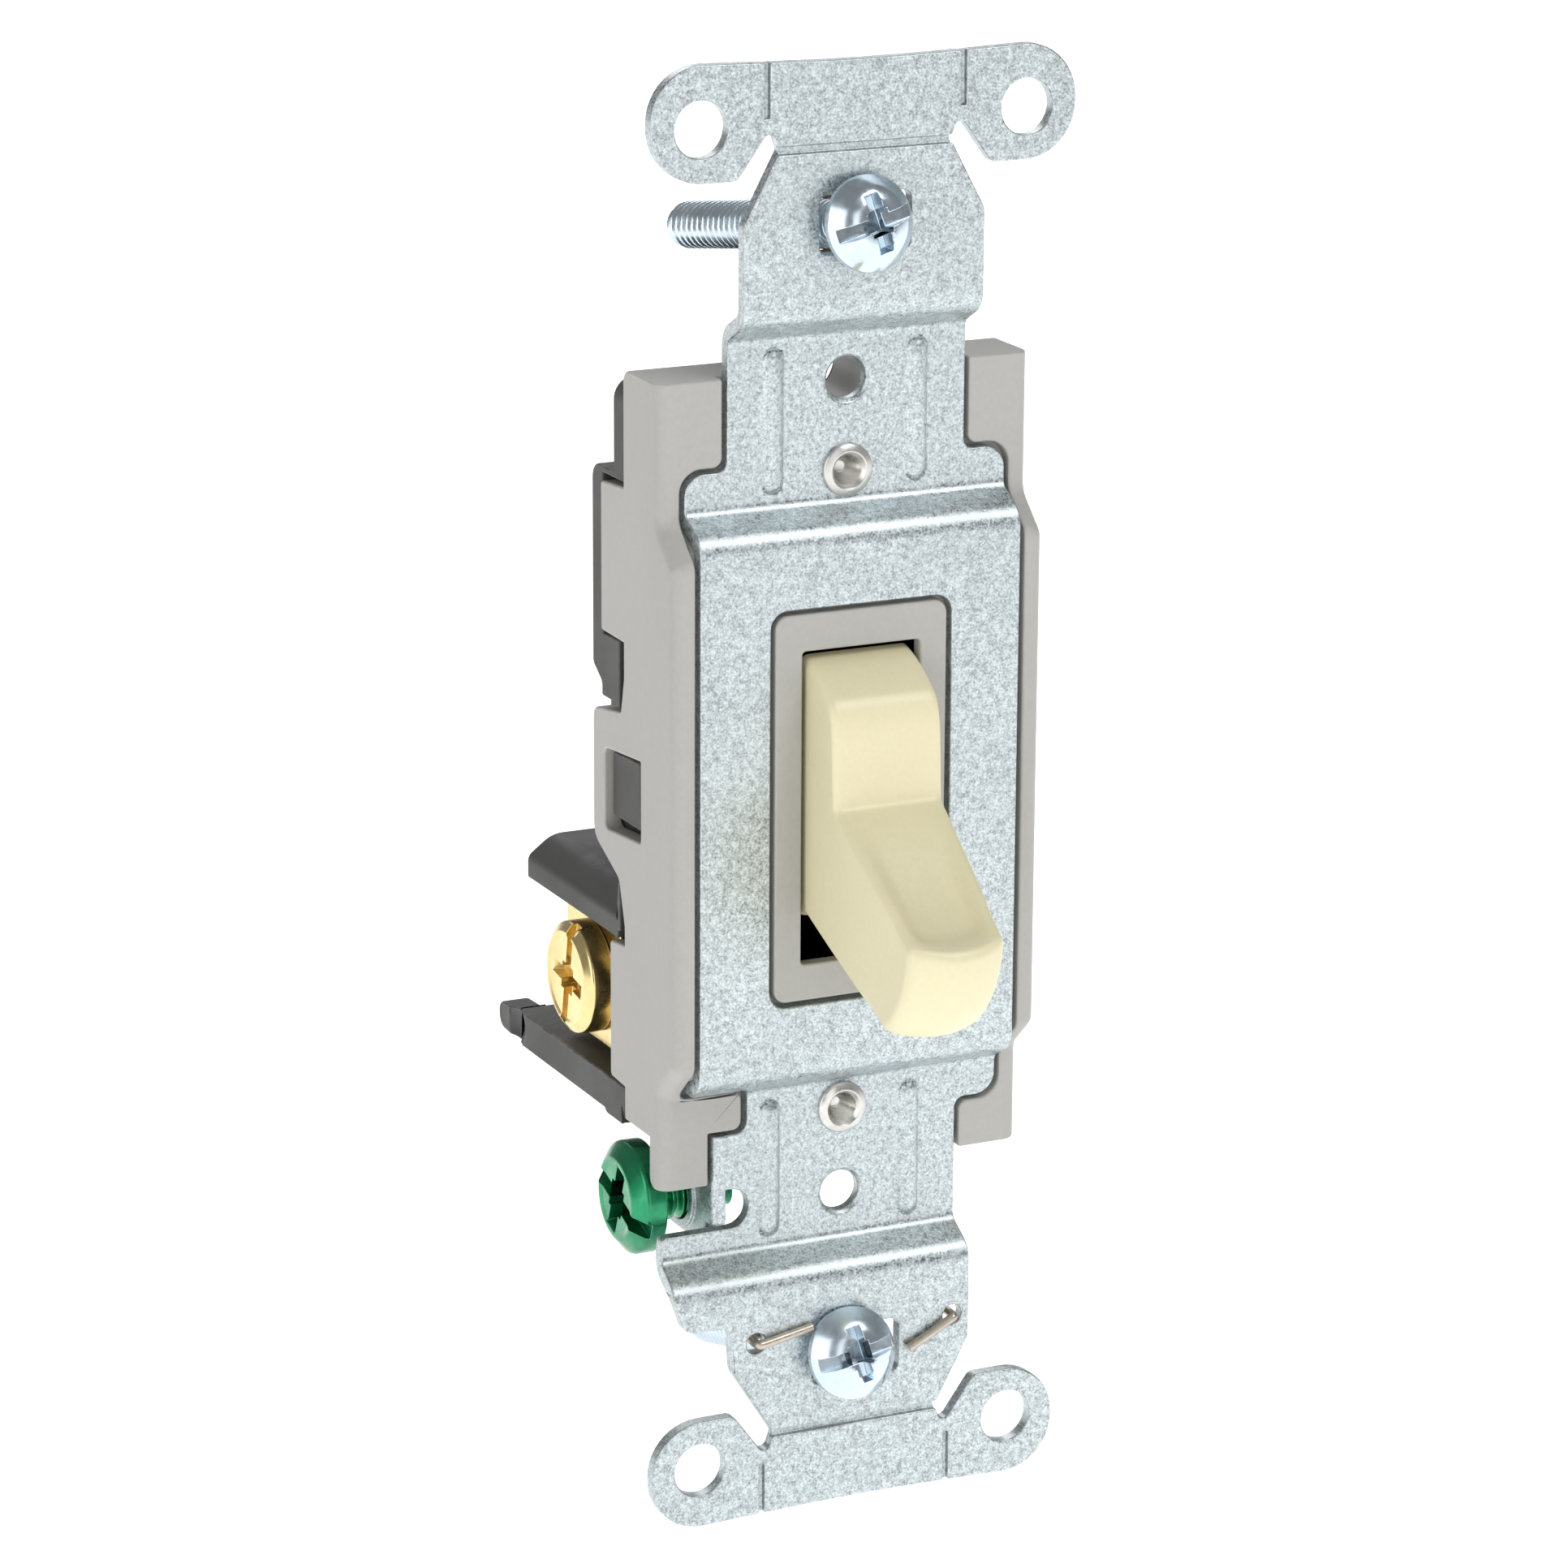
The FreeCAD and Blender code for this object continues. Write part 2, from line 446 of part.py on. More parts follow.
def line_terminal():
    """Left terminal: tapped side plate, foot along the floor and the arm's two bearing lugs."""
    side = box((-TERM_PLATE_X[1], -TERM_PLATE_X[0]), (11.3, 22.3), (-21.9, -11.7))
    foot = box((-TERM_PLATE_X[1], 3.2), (21.2, 22.3), (-18.5, -13.0))
    riser = box((-3.2, 3.2), (21.2, 22.3), (-13.0, 2.2))
    lugs = [slab([(21.5, -2.2, 0), (18.2, -1.6, 0.8), (18.2, 1.6, 0.8), (21.5, 2.2, 0)], x)
            for x in ((2.25, 3.2), (-3.2, -2.25))]
    tapped = rod(SHANK_8_32 + RUNNING, (-14, TERM_Y, TERM_Z), (-8, TERM_Y, TERM_Z))
    bearing = rod(ARM_PIN_R + RUNNING, (-4, ARM_Y, 0), (4, ARM_Y, 0))
    return cut(fused(side, foot, riser, *lugs), tapped, bearing)


def load_terminal():
    """Right terminal: tapped side plate, a leg into the box and the fixed contact's tongue."""
    side = box(TERM_PLATE_X, (12.2, 22.6), (-21.9, -11.7))
    leg = box((3.6, TERM_PLATE_X[1]), (12.2, 13.3), (-18.5, -13.0))
    riser = box((3.6, 6.0), (12.2, 13.3), (-13.0, 4.6))
    tongue = box((-2.0, 6.0), (12.2, 16.6), (3.55, 4.6))
    tapped = rod(SHANK_8_32 + RUNNING, (8, TERM_Y, TERM_Z), (14, TERM_Y, TERM_Z))
    return cut(fused(side, leg, riser, tongue), tapped)


# ---------------------------------------------------------------- terminal hardware
def clamp_plate():
    """Left pressure plate, captive under the terminal screw's head."""
    x = (-CLAMP_X[1], -CLAMP_X[0])
    body = slab([(TERM_Y - 4.9, TERM_Z - 4.9, 0.6), (TERM_Y + 4.9, TERM_Z - 4.9, 0.6),
                 (TERM_Y + 4.9, TERM_Z + 4.9, 0.6), (TERM_Y - 4.9, TERM_Z + 4.9, 0.6)], x)
    bore = rod(SHANK_8_32 + RUNNING, (x[0] - 1, TERM_Y, TERM_Z), (x[1] + 1, TERM_Y, TERM_Z))
    return cut(body, bore)


def terminal_screw():
    """Left terminal screw: low head with a slot, shank through plate and terminal."""
    seat = CLAMP_X[1] + 0.04
    corners = [(0, 0, 0), (TERM_HEAD_R, 0, 0.15), (TERM_HEAD_R, TERM_HEAD_T - 0.5, 0.5),
               (TERM_HEAD_R - 1.2, TERM_HEAD_T, 0.8), (0, TERM_HEAD_T, 0)]
    head = turned(corners, (-seat, TERM_Y, TERM_Z), (-1, 0, 0))
    shank = rod(SHANK_8_32, (-seat, TERM_Y, TERM_Z), (-7.0, TERM_Y, TERM_Z))
    slot = box((-seat - 5, -seat - TERM_HEAD_T + 1.0), (TERM_Y - 6, TERM_Y + 6), (TERM_Z - 0.5, TERM_Z + 0.5))
    return cut(fused(head, shank), slot)


def ground_screw():
    """Ground screw, backed out as supplied, with a thick slotted head."""
    seat = 13.1
    corners = [(0, 0, 0), (4.2, 0, 0.2), (4.2, 1.5, 0.6), (2.9, 2.35, 0.8), (0, 2.45, 0)]
    head = turned(corners, (-seat, GROUND_Y, GROUND_Z), (-1, 0, 0))
    shank = rod(SHANK_8_32, (-seat, GROUND_Y, GROUND_Z), (-6.8, GROUND_Y, GROUND_Z))
    slot = box((-20, -seat - 1.3), (GROUND_Y - 6, GROUND_Y + 6), (GROUND_Z - 0.55, GROUND_Z + 0.55))
    return cut(fused(head, shank), slot)


# ---------------------------------------------------------------- mounting hardware
def hung(shape, hang):
    """Lay a shape made along +Z, head down at the origin, on the axis of a hanging box screw."""
    x, z, _, right, down = hang
    inward = (sin(radians(right)) * cos(radians(down)), cos(radians(right)) * cos(radians(down)),
              -sin(radians(down)))
    shape.Placement = FreeCAD.Placement(vec(x, 0, z), FreeCAD.Rotation(vec(0, 0, 1), vec(*inward)))
    return shape


def box_screw(hang):
    """Box screw with a low domed head and a relieved neck, hanging loose in its slot."""
    neck_r, neck_l = BOX_NECK
    seat = -hang[2]
    corners = [(0, 0, 0), (3.4, 0, 0.1), (3.4, 0.7, 0.3), (1.9, 1.95, 1.6), (0, 1.95, 0)]
    head = turned(corners, (0, 0, seat), (0, 0, -1))
    neck = rod(neck_r, (0, 0, seat), (0, 0, seat + neck_l + 1))
    thread = rod(SHANK_6_32, (0, 0, seat + neck_l), (0, 0, seat + BOX_SHANK))
    slot = box((-6, 6), (-0.45, 0.45), (seat - 4, seat - 1.0))
    return hung(cut(fused(head, neck, thread), slot), hang)


def retainer(hang):
    """Fibre washer on a box screw's neck, which keeps the screw in the strap."""
    bore = BOX_NECK[0] + RUNNING
    distance, r = RETAINER
    washer = turned([(bore, 0, 0), (r, 0, 0.1), (r, 0.8, 0.1), (bore, 0.8, 0)], (0, 0, distance), (0, 0, 1))
    return hung(Part.makeCompound([washer]), hang)


def eyelets():
    """The two rivets with rolled, hollow ends that hold strap, cover and base together."""
    front, back = JOG - STRAP_T, 13.9
    flange = 1.8
    half = [(0, 1.3, 0), (0.45, 1.25, 0.2), (1.1, -0.2, 0.3), (1.35, -0.55, 0.15), (flange, -0.3, 0.2),
            (flange, 0, 0), (1.45, 0, 0)]
    corners = [(r, front + h, f) for r, h, f in half] + [(r, back - h, f) for r, h, f in reversed(half)]
    return Part.makeCompound([turned([(r, h, f) for r, h, f in corners], (0, 0, side * EYELET_Z), (0, 1, 0))
                              for side in (-1, 1)])


def ground_clip():
    """Spring wire that earths the lower box screw: behind the strap, ends out in front."""
    front, rear = -STRAP_T - CLIP_R - 0.02, CLIP_R + 0.02
    (lx, lz), (rx, rz) = CLIP_HOLES
    path = [(-3.7, front, -39.05), (lx, front, lz), (lx, rear, lz), (-2.6, rear, -39.3),
            (2.2, rear, -39.3), (rx, rear, rz), (rx, front, rz), (4.15, front, -42.0)]
    parts = [rod(CLIP_R, a, b) for a, b in zip(path, path[1:])]
    parts += [Part.makeSphere(CLIP_R, vec(*p)) for p in path[1:-1]]
    return fused(*parts)


# ---------------------------------------------------------------- output
def parts():
    """Every node by name."""
    screw_left, plate_left = terminal_screw(), clamp_plate()
    return {
        "strap": strap(), "cover": cover(), "base": base(), "toggle": toggle(),
        "contact_arm": contact_arm(), "moving_contact": moving_contact(),
        "fixed_contact": fixed_contact(), "toggle_spring": toggle_spring(),
        "line_terminal": line_terminal(), "load_terminal": load_terminal(),
        "pressure_plate_left": plate_left, "pressure_plate_right": mirrored(plate_left),
        "terminal_screw_left": screw_left, "terminal_screw_right": mirrored(screw_left),
        "ground_screw": ground_screw(), "ground_clip": ground_clip(), "eyelets": eyelets(),
        "box_screw_top": box_screw(TOP_HANG), "box_screw_bottom": box_screw(BOTTOM_HANG),
        "retainer_top": retainer(TOP_HANG), "retainer_bottom": retainer(BOTTOM_HANG),
    }


os.makedirs("parts", exist_ok=True)
for name, shape in parts().items():
    solids = shape.Solids
    b = shape.BoundBox
    print("%-22s solids %d valid %s volume %8.1f  x %.2f %.2f  y %.2f %.2f  z %.2f %.2f" % (
        name, len(solids), shape.isValid(), shape.Volume,
        b.XMin, b.XMax, b.YMin, b.YMax, b.ZMin, b.ZMax))
    shape.exportStep(os.path.join("parts", name + ".step"))
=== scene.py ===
# %% [markdown]
# # A toggle wall switch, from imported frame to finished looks
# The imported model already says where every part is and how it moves. Here we only give it its
# looks: rounded edges, moulded and threaded detail, and materials that behave like galvanised
# steel, moulded plastic, brass and bright zinc. The frame comes in first and is never moved.

# %% Load the frame
import json
from math import cos, pi, radians, sin, sqrt

import bmesh
import bpy
from mathutils import Matrix, Vector
from mathutils.bvhtree import BVHTree


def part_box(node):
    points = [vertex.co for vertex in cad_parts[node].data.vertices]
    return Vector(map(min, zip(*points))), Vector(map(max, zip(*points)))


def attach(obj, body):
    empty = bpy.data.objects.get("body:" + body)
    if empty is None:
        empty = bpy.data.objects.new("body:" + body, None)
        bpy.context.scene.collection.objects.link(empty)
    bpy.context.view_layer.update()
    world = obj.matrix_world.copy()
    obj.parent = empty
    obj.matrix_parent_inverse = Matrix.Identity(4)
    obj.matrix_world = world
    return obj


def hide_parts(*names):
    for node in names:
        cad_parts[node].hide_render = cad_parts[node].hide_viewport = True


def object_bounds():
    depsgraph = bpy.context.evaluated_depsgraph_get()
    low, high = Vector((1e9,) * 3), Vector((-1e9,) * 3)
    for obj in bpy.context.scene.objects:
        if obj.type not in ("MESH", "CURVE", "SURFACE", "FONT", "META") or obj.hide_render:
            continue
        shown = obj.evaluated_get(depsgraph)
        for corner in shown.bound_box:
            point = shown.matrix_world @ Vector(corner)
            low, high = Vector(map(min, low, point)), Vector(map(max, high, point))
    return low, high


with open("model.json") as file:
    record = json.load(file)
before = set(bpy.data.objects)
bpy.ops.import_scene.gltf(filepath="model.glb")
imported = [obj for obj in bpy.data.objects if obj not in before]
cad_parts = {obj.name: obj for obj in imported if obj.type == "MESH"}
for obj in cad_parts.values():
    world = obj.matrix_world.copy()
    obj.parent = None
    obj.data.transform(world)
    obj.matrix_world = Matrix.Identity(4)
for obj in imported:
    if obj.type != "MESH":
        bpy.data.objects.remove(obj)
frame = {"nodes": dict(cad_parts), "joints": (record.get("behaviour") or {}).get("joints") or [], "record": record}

MM = 0.001
cad_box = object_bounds()
scene = bpy.context.scene

# %% [markdown]
# ## Camera
# A product shot of something this small is made from about 40 cm with a long lens, so that the
# two ends of the strap stay parallel. The camera stands to the switch's left and a little above
# it. We aim it with `to_track_quat`, which turns the camera's own -Z axis along a direction.

# %% Camera
LENS = 130.2             # mm, on a 36 mm wide sensor
EYE = Vector((-171.06, -347.75, 111.8)) * MM
AIM = Vector((-6.03, -1.05, 2.08)) * MM
ROLL = radians(0.3)

camera = bpy.data.objects.new("camera", bpy.data.cameras.new("camera"))
camera.data.lens = LENS
camera.data.sensor_width = 36.0
camera.data.clip_start = 0.01
camera.data.clip_end = 20.0
camera.location = EYE
camera.rotation_mode = "QUATERNION"
rolled_camera = Matrix.Rotation(ROLL, 3, "Z").to_quaternion()
camera.rotation_quaternion = (AIM - EYE).to_track_quat("-Z", "Y") @ rolled_camera
scene.collection.objects.link(camera)
scene.camera = camera
print("camera at", [round(c / MM) for c in EYE], "mm")

# %% [markdown]
# ## Light
# Satin metal only looks like metal when it has something soft to reflect. Four big area lights
# do that: a key above and to the right, a fill on the left, a strip from behind the camera and a
# rim light from behind the switch.
# The world fills the shadows. It is shown white to the camera but lights the scene at a lower
# level, which is how a white studio cove behaves.

# %% Soft studio light
def area_light(name, place, size, power):
    """One softbox that faces the middle of the switch; place and size are in metres, power in watts."""
    lamp = bpy.data.lights.new(name, "AREA")
    lamp.shape = "RECTANGLE"
    lamp.size, lamp.size_y = size
    lamp.energy = power
    holder = bpy.data.objects.new(name, lamp)
    holder.location = place
    holder.rotation_mode = "QUATERNION"
    holder.rotation_quaternion = (-Vector(place)).to_track_quat("-Z", "Y")
    scene.collection.objects.link(holder)


area_light("key_light", (0.35, -0.55, 0.75), (0.5, 0.5), 3.7)
area_light("fill_light", (-0.75, -0.35, 0.25), (0.5, 0.7), 2.0)
area_light("front_light", (-0.1, -0.9, 0.1), (0.35, 0.8), 1.1)
area_light("rim_light", (0.2, 0.8, 0.6), (0.6, 0.4), 2.2)

WORLD_LEVEL = 0.28
world = bpy.data.worlds.new("studio")
scene.world = world
world.use_nodes = True
tree = world.node_tree
background = tree.nodes["Background"]
background.inputs["Color"].default_value = (1.0, 1.0, 1.0, 1.0)
seen = tree.nodes.new("ShaderNodeLightPath")
level = tree.nodes.new("ShaderNodeMapRange")
level.inputs["To Min"].default_value = WORLD_LEVEL
level.inputs["To Max"].default_value = 1.0
tree.links.new(seen.outputs["Is Camera Ray"], level.inputs["Value"])
tree.links.new(level.outputs["Result"], background.inputs["Strength"])
scene.view_settings.view_transform = "Standard"

# %% [markdown]
# ## Node groups that several materials share
# Wear, grain and stain are the same idea on every part, only with other numbers. A shader node
# group is built once and placed in each material. A group gives out values, and the Principled
# shader stays in the material. Patterns read Object coordinates, so they have a true size: a
# scale of 4000 repeats every quarter of a millimetre.

# %% Shared node groups
def socket(group, name, kind, way, value=None):
    """Adds one named input or output to a node group."""
    made = group.interface.new_socket(name=name, in_out=way, socket_type=kind)
    if value is not None:
        made.default_value = value
    return made


def start_group(name, inputs, outputs):
    """An empty shader node group with its input and output nodes."""
    group = bpy.data.node_groups.new(name, "ShaderNodeTree")
    for label, value in inputs:
        kind = "NodeSocketColor" if isinstance(value, tuple) else "NodeSocketFloat"
        socket(group, label, kind, "INPUT", value)
    for label, kind in outputs:
        socket(group, label, kind, "OUTPUT")
    return group, group.nodes.new("NodeGroupInput"), group.nodes.new("NodeGroupOutput")


def math_node(tree, operation, a, b):
    """Math node; a and b are sockets or numbers."""
    node = tree.nodes.new("ShaderNodeMath")
    node.operation = operation
    for slot, value in zip(node.inputs, (a, b)):
        if isinstance(value, (int, float)):
            slot.default_value = value
        else:
            tree.links.new(value, slot)
    return node.outputs[0]


def map_node(tree, value, low, high, to_low, to_high):
    """Map Range node, clamped; the limits are sockets or numbers."""
    node = tree.nodes.new("ShaderNodeMapRange")
    tree.links.new(value, node.inputs["Value"])
    for label, limit in (("From Min", low), ("From Max", high), ("To Min", to_low), ("To Max", to_high)):
        if isinstance(limit, (int, float)):
            node.inputs[label].default_value = limit
        else:
            tree.links.new(limit, node.inputs[label])
    return node.outputs["Result"]


def mix_node(tree, share, a, b, blend="MIX"):
    """Colour Mix node; share, a and b are sockets or values."""
    node = tree.nodes.new("ShaderNodeMix")
    node.data_type = "RGBA"
    node.blend_type = blend
    for slot, value in ((node.inputs[0], share), (node.inputs[6], a), (node.inputs[7], b)):
        if isinstance(value, (int, float, tuple)):
            slot.default_value = value
        else:
            tree.links.new(value, slot)
    return node.outputs[2]


def noise_node(tree, place, scale, detail=2.0, roughness=0.5):
    """Noise texture on a place; scale is a socket or a number."""
    node = tree.nodes.new("ShaderNodeTexNoise")
    tree.links.new(place, node.inputs["Vector"])
    if isinstance(scale, (int, float)):
        node.inputs["Scale"].default_value = scale
    else:
        tree.links.new(scale, node.inputs["Scale"])
    node.inputs["Detail"].default_value = detail
    node.inputs["Roughness"].default_value = roughness
    return node.outputs["Fac"]


def object_place(tree):
    """The Object coordinate of the surface."""
    return tree.nodes.new("ShaderNodeTexCoord").outputs["Object"]


def make_grain_group():
    """Fine surface grain: a height for bump and a centred brightness factor."""
    group, given, out = start_group(
        "grain", [("Scale", 4000.0), ("Contrast", 0.1)],
        [("Height", "NodeSocketFloat"), ("Tint", "NodeSocketFloat")])
    place = object_place(group)
    fine = noise_node(group, place, given.outputs["Scale"], 2.0, 0.6)
    broad_scale = math_node(group, "MULTIPLY", given.outputs["Scale"], 0.35)
    broad = noise_node(group, place, broad_scale, 1.0)
    fine_part = math_node(group, "MULTIPLY", fine, 0.7)
    both = math_node(group, "ADD", fine_part, math_node(group, "MULTIPLY", broad, 0.3))
    spread = map_node(group, both, 0.35, 0.65, -1.0, 1.0)
    swing = math_node(group, "MULTIPLY", spread, given.outputs["Contrast"])
    tint = math_node(group, "ADD", swing, 1.0)
    group.links.new(both, out.inputs["Height"])
    group.links.new(tint, out.inputs["Tint"])
    return group


def make_wear_group():
    """Where an edge is rubbed: the mesh's wear attribute, broken up by noise."""
    group, given, out = start_group(
        "edge_wear", [("Amount", 0.5), ("Scale", 900.0)], [("Mask", "NodeSocketFloat")])
    mark = group.nodes.new("ShaderNodeAttribute")
    mark.attribute_name = "wear"
    patch = noise_node(group, object_place(group), given.outputs["Scale"], 4.0, 0.6)
    broken = map_node(group, patch, 0.42, 0.62, 0.15, 1.0)
    worn = math_node(group, "MULTIPLY", mark.outputs["Fac"], broken)
    group.links.new(math_node(group, "MULTIPLY", worn, given.outputs["Amount"]), out.inputs["Mask"])
    return group


def make_stain_group():
    """Slow cloudy variation, as handling and plating leave on a surface."""
    group, given, out = start_group(
        "stain", [("Scale", 90.0), ("Strength", 0.1)], [("Mask", "NodeSocketFloat")])
    cloud = noise_node(group, object_place(group), given.outputs["Scale"], 5.0, 0.65)
    mask = map_node(group, cloud, 0.38, 0.7, 0.0, 1.0)
    group.links.new(math_node(group, "MULTIPLY", mask, given.outputs["Strength"]), out.inputs["Mask"])
    return group


groups = {"grain": make_grain_group(), "wear": make_wear_group(), "stain": make_stain_group()}
print("node groups:", sorted(groups))

# %% [markdown]
# ## One recipe for all finishes
# Every finish on this switch is a base colour, changed by three things: a fine grain, a cloudy
# stain and lighter or darker rubbed edges. So one function builds them all, and each finish is
# a short row of numbers in a table. Metals and plastics differ in Metallic, roughness and how coarse and
# deep the grain is.

# %% Material builder
def use_group(tree, name, **values):
    """Places a shared group in a material and sets its inputs."""
    node = tree.nodes.new("ShaderNodeGroup")
    node.node_tree = groups[name]
    for label, value in values.items():
        node.inputs[label].default_value = value
    return node


def finish_material(name, colour, metallic, rough, grain, stain, wear, coat):
    """A material from one line of numbers, in the order that the list below gives."""
    material = bpy.data.materials.new(name)
    material.use_nodes = True
    tree = material.node_tree
    shader = tree.nodes["Principled BSDF"]
    shader.inputs["Metallic"].default_value = metallic
    shader.inputs["Coat Weight"].default_value = coat
    shader.inputs["Coat Roughness"].default_value = 0.12

    fine = use_group(tree, "grain", Scale=grain[0], Contrast=grain[1])
    cloud = use_group(tree, "stain", Scale=stain[1], Strength=stain[2])
    edge = use_group(tree, "wear", Amount=wear[1])
    tint = tree.nodes.new("ShaderNodeCombineColor")
    for channel in tint.inputs:
        tree.links.new(fine.outputs["Tint"], channel)
    grained = mix_node(tree, 1.0, (*colour, 1.0), tint.outputs[0], "MULTIPLY")
    stained = mix_node(tree, cloud.outputs["Mask"], grained, (*stain[0], 1.0))
    worn = mix_node(tree, edge.outputs["Mask"], stained, (*wear[0], 1.0))
    tree.links.new(worn, shader.inputs["Base Color"])

    duller = math_node(tree, "MULTIPLY", cloud.outputs["Mask"], 0.6)
    centred = math_node(tree, "SUBTRACT", fine.outputs["Height"], 0.5)
    rougher = math_node(tree, "MULTIPLY", centred, rough[1])
    total = math_node(tree, "ADD", math_node(tree, "ADD", duller, rougher), rough[0])
    tree.links.new(total, shader.inputs["Roughness"])

    bump = tree.nodes.new("ShaderNodeBump")
    bump.inputs["Strength"].default_value = 1.0
    bump.inputs["Distance"].default_value = grain[2] * MM
    tree.links.new(fine.outputs["Height"], bump.inputs["Height"])
    tree.links.new(bump.outputs["Normal"], shader.inputs["Normal"])
    return material


# slot: name, colour, metallic, (roughness, its spread), (grain scale, contrast, height in mm),
#       (stain colour, scale, strength), (wear colour, amount), coat
FINISHES = {
    "zinc_strap": ("galvanised_strap", (0.49, 0.54, 0.555), 0.85, (0.38, 0.9), (7000.0, 0.50, 0.014),
                   ((0.42, 0.47, 0.49), 70.0, 0.10), ((0.34, 0.29, 0.24), 0.6), 0.0),
    "cover_plastic": ("light_grey_plastic", (0.405, 0.40, 0.378), 0.0, (0.48, 0.2), (2600.0, 0.03, 0.006),
                      ((0.38, 0.38, 0.36), 60.0, 0.12), ((0.56, 0.555, 0.53), 0.4), 0.0),
    "base_plastic": ("dark_grey_thermoset", (0.060, 0.060, 0.059), 0.0, (0.5, 0.25), (2200.0, 0.10, 0.010),
                     ((0.085, 0.085, 0.082), 80.0, 0.35), ((0.22, 0.22, 0.21), 0.5), 0.0),
    "ivory_plastic": ("ivory_plastic", (0.75, 0.69, 0.455), 0.0, (0.36, 0.1), (3000.0, 0.018, 0.0025),
                      ((0.73, 0.68, 0.45), 70.0, 0.12), ((0.80, 0.76, 0.57), 0.3), 0.08),
    "brass": ("bright_brass", (0.83, 0.66, 0.32), 1.0, (0.16, 0.15), (1500.0, 0.05, 0.004),
              ((0.50, 0.36, 0.15), 160.0, 0.35), ((0.92, 0.80, 0.50), 0.6), 0.0),
    "silver_contact": ("contact_silver", (0.86, 0.85, 0.82), 1.0, (0.25, 0.2), (1800.0, 0.05, 0.004),
                       ((0.5, 0.47, 0.42), 300.0, 0.4), ((0.95, 0.95, 0.93), 0.5), 0.0),
    "spring_steel": ("spring_steel", (0.50, 0.50, 0.51), 1.0, (0.28, 0.2), (2500.0, 0.06, 0.004),
                     ((0.33, 0.33, 0.34), 200.0, 0.4), ((0.66, 0.66, 0.67), 0.4), 0.0),
    "zinc_screw": ("bright_zinc", (0.62, 0.71, 0.78), 1.0, (0.14, 0.15), (1700.0, 0.05, 0.004),
                   ((0.50, 0.62, 0.72), 220.0, 0.35), ((0.93, 0.97, 1.0), 0.5), 0.0),
    "green_screw": ("green_dyed_zinc", (0.015, 0.30, 0.125), 0.9, (0.18, 0.2), (1400.0, 0.10, 0.005),
                    ((0.01, 0.14, 0.07), 260.0, 0.6), ((0.25, 0.60, 0.42), 0.55), 0.5),
    "clip_wire": ("plated_wire", (0.55, 0.50, 0.43), 1.0, (0.25, 0.2), (2200.0, 0.10, 0.005),
                  ((0.30, 0.25, 0.20), 320.0, 0.5), ((0.80, 0.77, 0.72), 0.5), 0.0),
    "eyelet_metal": ("rolled_eyelet", (0.66, 0.655, 0.63), 1.0, (0.24, 0.2), (1800.0, 0.08, 0.005),
                     ((0.42, 0.40, 0.36), 300.0, 0.4), ((0.85, 0.85, 0.84), 0.5), 0.0),
    "fibre": ("vulcanised_fibre", (0.36, 0.22, 0.14), 0.0, (0.7, 0.2), (2500.0, 0.12, 0.02),
              ((0.28, 0.16, 0.10), 150.0, 0.4), ((0.50, 0.36, 0.25), 0.4), 0.0),
}
materials = {slot: finish_material(*recipe) for slot, recipe in FINISHES.items()}
print("materials:", len(materials))

# %% [markdown]
# ## Helpers for pieces
# A finished piece is a plain mesh whose object sits at the origin, so its place is in its
# vertices. `place_piece` gives it a material and the body it rides on, and hides the node it stands for.
# The record names each node's material slot, so a piece takes its finish from there.

# %% Piece helpers
slot_of = {part["node"]: part["material_slot"] for part in frame["record"]["subparts"]}
body_of = {node: body for body, nodes in frame["record"]["behaviour"]["bodies"].items() for node in nodes}


def mesh_from(bm, name):
    """Turns a bmesh into a smooth-shaded mesh."""
    mesh = bpy.data.meshes.new(name)
    bm.to_mesh(mesh)
    bm.free()
    mesh.polygons.foreach_set("use_smooth", [True] * len(mesh.polygons))
    return mesh


def new_object(name, mesh):
    """A linked object for a mesh."""
    made = bpy.data.objects.new(name, mesh)
    scene.collection.objects.link(made)
    return made


def baked(holder, name):
    """The evaluated mesh of an object with modifiers, as a new plain object; the holder goes."""
    graph = bpy.context.evaluated_depsgraph_get()
    mesh = bpy.data.meshes.new_from_object(holder.evaluated_get(graph), depsgraph=graph)
    old = holder.data
    bpy.data.objects.remove(holder)
    if old.users == 0 and isinstance(old, bpy.types.Mesh):
        bpy.data.meshes.remove(old)
    mesh.name = name
    return new_object(name, mesh)


def place_piece(piece, node):
    """Gives a piece the material and body of the CAD node that it stands for, and hides that node."""
    slot = slot_of[node]
    piece.data.materials.clear()
    piece.data.materials.append(materials[slot])
    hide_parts(node)
    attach(piece, body_of[node])
    print(piece.name, "rides on", body_of[node], "with", len(piece.data.polygons), "faces")


# %% [markdown]
# ## Rounded copies of the exact parts
# No real edge is sharp: sheared steel has a small roll-over, and moulded plastic has the radius
# of the tool that cut its mould. The CAD solids are exact but sharp, so we copy a node's mesh,
# merge its loose triangles, dissolve flat regions into single faces, and let a Bevel modifier
# round what is left. Where two edges are closer together than the radius, a bevel can throw a
# vertex out as a spike, so any vertex that left the exact surface is put back on it. The bevel
# puts its new faces in a second material slot. We read that back as a `wear` attribute, which
# tells the materials where the edges are. Faces that look straight to the front get none of it.

# %% Rounding helper
MERGE = 1e-7             # metres
FLAT = radians(0.6)      # faces that meet at less than this are one face
SHARP = radians(28)      # edges that turn by more than this are rounded
SPIKE = 0.5              # a right angle's bevel stays within 0.41 of its width of the sharp edge


